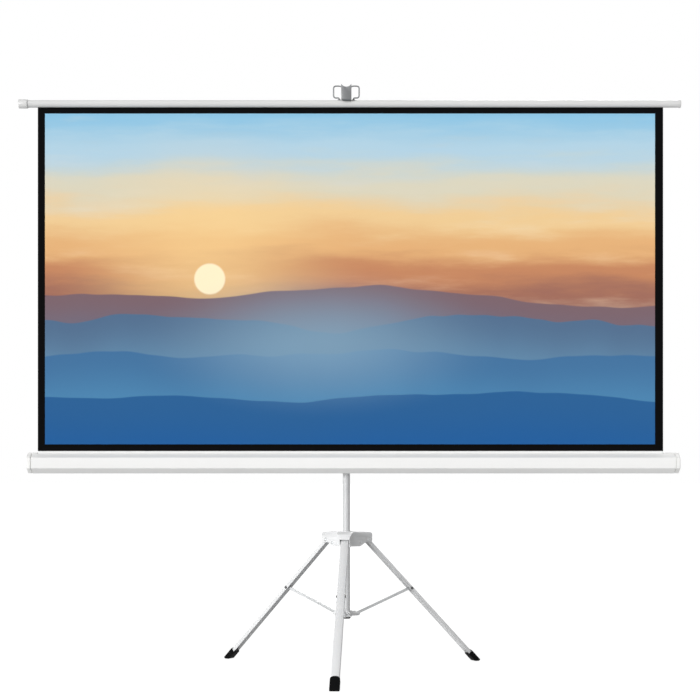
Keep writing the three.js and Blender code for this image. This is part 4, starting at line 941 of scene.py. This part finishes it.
# Clamp knobs
def clamp_knob(node, joint_name, name):
    joint = joint_named(joint_name)
    outward = Vector(joint["axis"]).normalized()
    seat = Vector(joint["pos_m"])
    spin = outward.to_track_quat("Z", "X").to_matrix()
    lowest = min((v.co - seat).dot(outward) for v in frame["nodes"][node].data.vertices)
    face = KNOB_NECK_LENGTH + KNOB_THICKNESS
    profile = [
        (0, lowest), (KNOB_STUD_RADIUS * KNOB_TIP_SHARE, lowest),
        (KNOB_STUD_RADIUS, lowest + KNOB_TIP_CHAMFER), (KNOB_STUD_RADIUS, 0),
        (KNOB_NECK_RADIUS - LIP_ROUND, 0), (KNOB_NECK_RADIUS, LIP_ROUND),
        (KNOB_NECK_RADIUS, KNOB_NECK_LENGTH),
    ]
    for angle in QUARTER:
        radius = KNOB_RADIUS - KNOB_EDGE * (1 - math.sin(angle))
        profile.append((radius, KNOB_NECK_LENGTH + KNOB_EDGE * (1 - math.cos(angle)), KNOB_LOBE_DEPTH))
    for angle in QUARTER:
        radius = KNOB_RADIUS - KNOB_EDGE * (1 - math.cos(angle))
        profile.append((radius, face - KNOB_EDGE * (1 - math.sin(angle)), KNOB_LOBE_DEPTH))
    floor = face - KNOB_DIMPLE_DEPTH
    profile += [
        (KNOB_DIMPLE_RADIUS + LIP_ROUND, face), (KNOB_DIMPLE_RADIUS, face - LIP_ROUND),
        (KNOB_DIMPLE_RADIUS * KNOB_DIMPLE_FLOOR_SHARE, floor), (0, floor),
    ]
    return stand_for(turned(name, spin, seat, profile, KNOB_STEPS), node)


# Case and its end caps
def rounded_hexagon(half_depth, corner, centre_y, centre_z):
    """(y, z) points of the case section, ridge up, with rounded corners."""
    points = []
    tip = half_depth / math.cos(math.pi / 6)
    for side in range(6):
        heading = math.pi / 2 - side * math.pi / 3
        away = tip - corner / math.cos(math.pi / 6)
        hub = (centre_y + away * math.cos(heading), centre_z + away * math.sin(heading))
        for k in range(CORNER_STEPS + 1):
            angle = heading + math.pi / 6 - k * math.pi / 3 / CORNER_STEPS
            points.append((hub[0] + corner * math.cos(angle), hub[1] + corner * math.sin(angle)))
    return points


def make_case():
    low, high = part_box("case_shell")
    centre = middle_of("case_shell")
    half = (high.y - low.y) / 2
    outer = rounded_hexagon(half, CASE_CORNER, centre.y, centre.z)
    inner = rounded_hexagon(half - CASE_WALL, CASE_CORNER - CASE_WALL, centre.y, centre.z)

    def on_slope(size, y):
        return (y, centre.z + size / math.cos(math.pi / 6) - abs(y - centre.y) * math.tan(math.pi / 6))

    rear, front = sheet_y + SLOT_HALF, sheet_y - SLOT_HALF
    section = [on_slope(half, rear), *outer, on_slope(half, front),
               on_slope(half - CASE_WALL, front), *reversed(inner), on_slope(half - CASE_WALL, rear)]
    rings = [[Vector((x, y, z)) for y, z in section] for x in (low.x, high.x)]
    stand_for(lofted("case_shell_folded", rings), "case_shell")
    for side, hand, face in (("left", -1, low.x), ("right", 1, high.x)):
        make_end_cap(side, hand, face, half, centre)


def make_end_cap(side, hand, face, half, centre):
    """A hollow cap: a spigot inside the case, a shadow gap at the joint and a rounded outer edge."""
    low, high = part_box(f"end_cap_{side}")
    end, tip = (low.x, high.x) if hand < 0 else (high.x, low.x)
    length, spigot = abs(end - face), abs(tip - face)
    cup = CAP_SPIGOT_INSET + CAP_SPIGOT_WALL
    stations = [(length - CAP_FLOOR, cup), (-spigot, cup), (-spigot, CAP_SPIGOT_INSET),
                (-CAP_GROOVE, CAP_SPIGOT_INSET), (0.0, CAP_NECK), (CAP_SEAM, CAP_NECK),
                (CAP_SEAM, CAP_GROOVE), (CAP_SEAM + CAP_GROOVE, 0.0), (length - CAP_EDGE, 0.0)]
    stations += [(length - CAP_EDGE * (1 - math.sin(a)), CAP_EDGE * (1 - math.cos(a))) for a in QUARTER[1:]]
    rings = []
    for along, inset in stations:
        ring = rounded_hexagon(half - inset, CASE_CORNER + CAP_EDGE - inset, centre.y, centre.z)
        rings.append([Vector((face + hand * along, y, z)) for y, z in ring])
    stand_for(lofted(f"end_cap_{side}_moulded", rings), f"end_cap_{side}")
    journal_boss(side, face - hand * JOURNAL_BOSS_DEPTH, face + hand * (length - CAP_FLOOR))


def journal_boss(side, start, end):
    """The round boss in a cap that the roller's journal turns in."""
    at = middle_of("roller_tube")
    at.x = 0
    piece = turned(f"journal_boss_{side}", "x", at, [
        (JOURNAL_BORE_RADIUS, start), (JOURNAL_BOSS_RADIUS, start), (JOURNAL_BOSS_RADIUS, end),
        (JOURNAL_BORE_RADIUS, end)], SMALL_STEPS)
    piece.data.materials.append(WHITE_PLASTIC)
    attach(piece, NODE_BODIES["case_shell"])


# Roller, its wound cloth and its spring
def wind_cloth():
    """The cloth left on the roller, as a spiral of a few turns."""
    low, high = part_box("wound_cloth")
    centre = middle_of("wound_cloth")
    tube_low, tube_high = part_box("roller_tube")
    outer = (high.z - low.z) / 2
    inner = (tube_high.z - tube_low.z) / 2 + SEAT_GAP
    gap = (outer - inner) / (ROLL_TURNS + 1)
    spiral = [(inner + gap * k / ROLL_STEPS, 2 * math.pi * k / ROLL_STEPS)
              for k in range(ROLL_TURNS * ROLL_STEPS + 1)]
    outline = spiral + [(r + gap * ROLL_FILL, a) for r, a in reversed(spiral)]
    rings = [[Vector((x, centre.y + r * math.cos(a), centre.z + r * math.sin(a))) for r, a in outline]
             for x in (low.x, high.x)]
    stand_for(lofted("cloth_on_roller", rings), "wound_cloth")


def coil_spring(centre):
    start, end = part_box("roller_spring")
    length = end.x - start.x - 2 * SPRING_WIRE
    count = SPRING_TURNS * SPRING_STEPS
    path = []
    for share in [k / count for k in range(count + 1)]:
        angle = 2 * math.pi * SPRING_TURNS * share
        path.append(Vector((start.x + SPRING_WIRE + length * share,
                            centre.y + SPRING_RADIUS * math.cos(angle),
                            centre.z + SPRING_RADIUS * math.sin(angle))))
    stand_for(wire("roller_spring_coil", path, SPRING_WIRE, SPRING_SIDES), "roller_spring")


def make_roller():
    wind_cloth()
    centre = middle_of("wound_cloth")
    low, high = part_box("roller_tube")
    radius = (high.z - low.z) / 2
    bore = radius - ROLLER_WALL
    profile = [(bore, low.x), (radius, low.x), (radius, high.x), (bore, high.x)]
    at = Vector((0, centre.y, centre.z))
    stand_for(turned("roller_tube_drawn", "x", at, profile), "roller_tube")
    coil_spring(centre)


# Cloth
def cloth_mesh(width, height):
    """The cloth's middle layer, with its flat places as UVs and a faint ripple that dies out at its edges."""
    verts, faces = [], []
    for j in range(SHEET_ROWS + 1):
        for i in range(SHEET_COLUMNS + 1):
            u, v = i / SHEET_COLUMNS, j / SHEET_ROWS
            calm = math.sin(math.pi * u) * math.sin(math.pi * v)
            broad = math.sin(RIPPLE_WAVES * math.pi * u + RIPPLE_LEAN * v)
            fine = FINE_SHARE * math.sin(FINE_WAVES * math.pi * u)
            y = sheet_y + SHEET_RIPPLE * calm * (broad + fine)
            verts.append((sheet_low.x + u * width, y, sheet_low.z + v * height))
    across = SHEET_COLUMNS + 1
    for j in range(SHEET_ROWS):
        for i in range(SHEET_COLUMNS):
            k = j * across + i
            faces.append((k, k + 1, k + across + 1, k + across))
    mesh = bpy.data.meshes.new("screen_cloth_flat")
    mesh.from_pydata(verts, [], faces)
    layer = mesh.uv_layers.new(name="UVMap")
    for loop in mesh.loops:
        place = mesh.vertices[loop.vertex_index].co
        layer.data[loop.index].uv = (place.x - sheet_low.x, place.z - sheet_low.z)
    return mesh


def make_cloth():
    """The taut cloth: printed in front and black behind, with a bead in the bar's slot."""
    width, height = sheet_high.x - sheet_low.x, sheet_high.z - BEAD_RADIUS - sheet_low.z
    mesh = cloth_mesh(width, height)
    mesh.materials.append(CLOTH_PRINT)
    mesh.materials.append(CLOTH_BACK)
    piece = link("screen_cloth_flat", mesh)
    wall = piece.modifiers.new("thickness", "SOLIDIFY")
    wall.thickness = SHEET_THICKNESS
    wall.offset = 0
    wall.material_offset = 1
    wall.material_offset_rim = 1
    piece = stand_for(plain(piece, "screen_cloth"), "screen_fabric")
    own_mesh(piece)
    bead = turned("cloth_bead", "x", Vector((0, sheet_y, sheet_high.z - BEAD_RADIUS)), [
        (0, sheet_low.x), (BEAD_RADIUS, sheet_low.x), (BEAD_RADIUS, sheet_high.x), (0, sheet_high.x)],
        SMALL_STEPS)
    bead.data.materials.append(CLOTH_BACK)
    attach(bead, "hanging_bar")


# Top bar with its ferrule and end plug
def make_bar():
    bore = bar_radius - BAR_WALL
    outer_gap, inner_gap = math.asin(BAR_SLOT / 2 / bar_radius), math.asin(BAR_SLOT / 2 / bore)

    def arc(radius, gap):
        span = 2 * math.pi - 2 * gap
        angles = [-math.pi / 2 + gap + span * k / TUBE_STEPS for k in range(TUBE_STEPS + 1)]
        return [(radius * math.cos(a), radius * math.sin(a)) for a in angles]

    section = arc(bar_radius, outer_gap) + list(reversed(arc(bore, inner_gap)))
    rings = [[Vector((x, bar_axis.y + y, bar_axis.z + z)) for y, z in section]
             for x in (bar_low.x, bar_high.x)]
    stand_for(lofted("top_bar_tube", rings), "top_bar")
    at = Vector((0, bar_axis.y, bar_axis.z))
    make_ferrule(at)
    make_end_plug(at, bore - SEAT_GAP)


def make_ferrule(at):
    """The cup over the bar's left end."""
    low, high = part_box("top_bar_ferrule")
    radius = (high.z - low.z) / 2
    bore = bar_radius + SEAT_GAP
    face = bar_low.x - SEAT_GAP
    edge = FERRULE_EDGE
    stand_for(turned("top_bar_ferrule_moulded", "x", at, [
        (0, low.x), (radius - edge, low.x), (radius - edge * ROUND_SHARE, low.x + edge * ROUND_SHARE),
        (radius, low.x + edge), (radius, high.x - edge / 2), (radius - edge / 2, high.x),
        (bore, high.x), (bore, face), (0, face)]), "top_bar_ferrule")


def make_end_plug(at, shank):
    """The plug in the bar's right end."""
    low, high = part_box("top_bar_end_plug")
    radius = (high.z - low.z) / 2
    rim = bar_high.x + SEAT_GAP
    edge = PLUG_EDGE
    stand_for(turned("top_bar_end_plug_moulded", "x", at, [
        (0, low.x), (shank, low.x), (shank, rim), (radius - PLUG_LIP, rim),
        (radius, rim + PLUG_LIP), (radius, high.x - edge),
        (radius - edge * ROUND_SHARE, high.x - edge * ROUND_SHARE),
        (radius - edge, high.x), (0, high.x)]), "top_bar_end_plug")


# Wire handle
def rounded_run(stops):
    """Points along straight runs, each corner rounded by its own size."""
    path = [stops[0][0]]
    for k in range(1, len(stops) - 1):
        corner, size = stops[k]
        back, ahead = stops[k - 1][0] - corner, stops[k + 1][0] - corner
        trim = min(size, back.length / 2, ahead.length / 2)
        enter, leave = corner + back.normalized() * trim, corner + ahead.normalized() * trim
        for t in [i / BEND_STEPS for i in range(BEND_STEPS + 1)]:
            path.append(enter * (1 - t) ** 2 + corner * (2 * t * (1 - t)) + leave * t ** 2)
    path.append(stops[-1][0])
    return path


def make_handle():
    top = bar_high.z
    half = [
        (HANDLE_FOOT, -HANDLE_FOOT_DEPTH, 0), (HANDLE_FOOT, HANDLE_SHOULDER, HANDLE_FOOT_CORNER),
        (HANDLE_HALF, HANDLE_SHOULDER, HANDLE_CORNER), (HANDLE_HALF, HANDLE_TOP, HANDLE_CORNER),
        (HANDLE_DIP_TOP, HANDLE_TOP, HANDLE_CORNER), (HANDLE_DIP_BOTTOM, HANDLE_DIP_RISE, HANDLE_CORNER),
    ]
    run = [(-x, z, corner) for x, z, corner in half] + list(reversed(half))
    stops = [(Vector((mast_axis.x + x, bar_axis.y, top + z)), corner) for x, z, corner in run]
    stand_for(wire("handle_bent_wire", rounded_run(stops), WIRE_RADIUS), "handle_wire")


# Studio
def make_camera():
    data = bpy.data.cameras.new("camera")
    data.sensor_width = SENSOR_WIDTH
    data.lens = FOCAL_PIXELS / FRAME_PIXELS * SENSOR_WIDTH
    data.shift_y = (HORIZON_PIXEL - FRAME_PIXELS / 2) / FRAME_PIXELS
    camera = bpy.data.objects.new("camera", data)
    camera.location = mast_axis + Vector((CAMERA_SIDE, -CAMERA_DISTANCE, CAMERA_HEIGHT))
    camera.rotation_euler = (math.pi / 2, 0, 0)
    bpy.context.scene.collection.objects.link(camera)
    bpy.context.scene.camera = camera


def seen_rays(tree):
    """One for what the camera sees, straight or in a gloss, and nothing for other light."""
    path = tree.nodes.new("ShaderNodeLightPath")
    return math_node(tree, "MAXIMUM", path.outputs["Is Camera Ray"], path.outputs["Is Glossy Ray"])


def make_floor():
    """A pale floor that takes the object's shadow and fades to white away from it."""
    mesh = bpy.data.meshes.new("studio_floor")
    corners = [(-1, -1), (1, -1), (1, 1), (-1, 1)]
    mesh.from_pydata([(x * FLOOR_REACH, y * FLOOR_REACH, 0) for x, y in corners], [], [(0, 1, 2, 3)])
    floor = link("studio_floor", mesh)
    material, tree = new_material("studio_floor")
    shader = tree.nodes["Principled BSDF"]
    shader.inputs["Base Color"].default_value = (*FLOOR_COLOUR, 1)
    shader.inputs["Roughness"].default_value = FLOOR_ROUGHNESS
    white = tree.nodes.new("ShaderNodeEmission")
    white.inputs["Strength"].default_value = FLOOR_WHITE
    place = tree.nodes.new("ShaderNodeTexCoord").outputs["Object"]
    away = tree.nodes.new("ShaderNodeVectorMath")
    away.operation = "LENGTH"
    tree.links.new(place, away.inputs[0])
    fade = range_node(tree, away.outputs["Value"], FLOOR_NEAR, FLOOR_FAR,
                      FLOOR_NEAR_SHARE, 1.0, smooth=True)
    share = math_node(tree, "MULTIPLY", fade, seen_rays(tree))
    blend = tree.nodes.new("ShaderNodeMixShader")
    tree.links.new(share, blend.inputs[0])
    tree.links.new(shader.outputs[0], blend.inputs[1])
    tree.links.new(white.outputs[0], blend.inputs[2])
    tree.links.new(blend.outputs[0], tree.nodes["Material Output"].inputs["Surface"])
    mesh.materials.append(material)


def make_lamp(name, strength, rise, side):
    """A broad, distant lamp, raised above the floor and turned round the object from the front."""
    data = bpy.data.lights.new(name, "SUN")
    data.energy = strength
    data.angle = LAMP_ANGLE
    lamp = bpy.data.objects.new(name, data)
    lamp.rotation_euler = (math.pi / 2 - rise, 0, -side)
    bpy.context.scene.collection.objects.link(lamp)


def make_light():
    world = bpy.data.worlds.new("studio")
    world.use_nodes = True
    bpy.context.scene.world = world
    tree = world.node_tree
    strength = range_node(tree, seen_rays(tree), 0, 1, AMBIENT, 1.0)
    tree.links.new(strength, tree.nodes["Background"].inputs["Strength"])
    tree.nodes["Background"].inputs["Color"].default_value = (1, 1, 1, 1)
    make_lamp("key", KEY_STRENGTH, KEY_RISE, KEY_SIDE)
    make_lamp("fill", FILL_STRENGTH, FILL_RISE, FILL_SIDE)
    make_lamp("back", BACK_STRENGTH, BACK_RISE, BACK_SIDE)
    bpy.context.scene.view_settings.view_transform = "Standard"


# The object
def make_stand():
    tube("mast_outer_tube", MAST_WALL, "mast_tube")
    tube("mast_inner_tube", EXTENSION_WALL, "mast_extension_tube")
    for place in ("mast", "hub", "carrier"):
        clamp_knob(f"{place}_lock_knob", f"{place}_knob_turn", f"{place}_clamp_knob")
    dressed("tripod_hub", HUB_EDGE, segments=3)
    dressed("spider_collar", SPIDER_EDGE)
    dressed("mast_hook", HOOK_EDGE)
    for side in LIMB_SIDES:
        dressed(f"leg_{side}", LEG_EDGE)
        dressed(f"boot_{side}", BOOT_EDGE, segments=4, toe_share=TOE_SHARE)
        dressed(f"strut_{side}", SHEET_EDGE)
    for node in ("mast_lock_collar", "carrier_sleeve", "case_bracket", "mast_bottom_plug"):
        dressed(node, SHEET_EDGE)


def paint_remaining():
    for name, node in frame["nodes"].items():
        node.data.materials.clear()
        node.data.materials.append(finish_of(name))


make_camera()
make_floor()
make_light()
paint_remaining()
make_stand()
make_case()
make_bar()
make_roller()
make_cloth()
make_handle()
make_rivets()
make_screws()
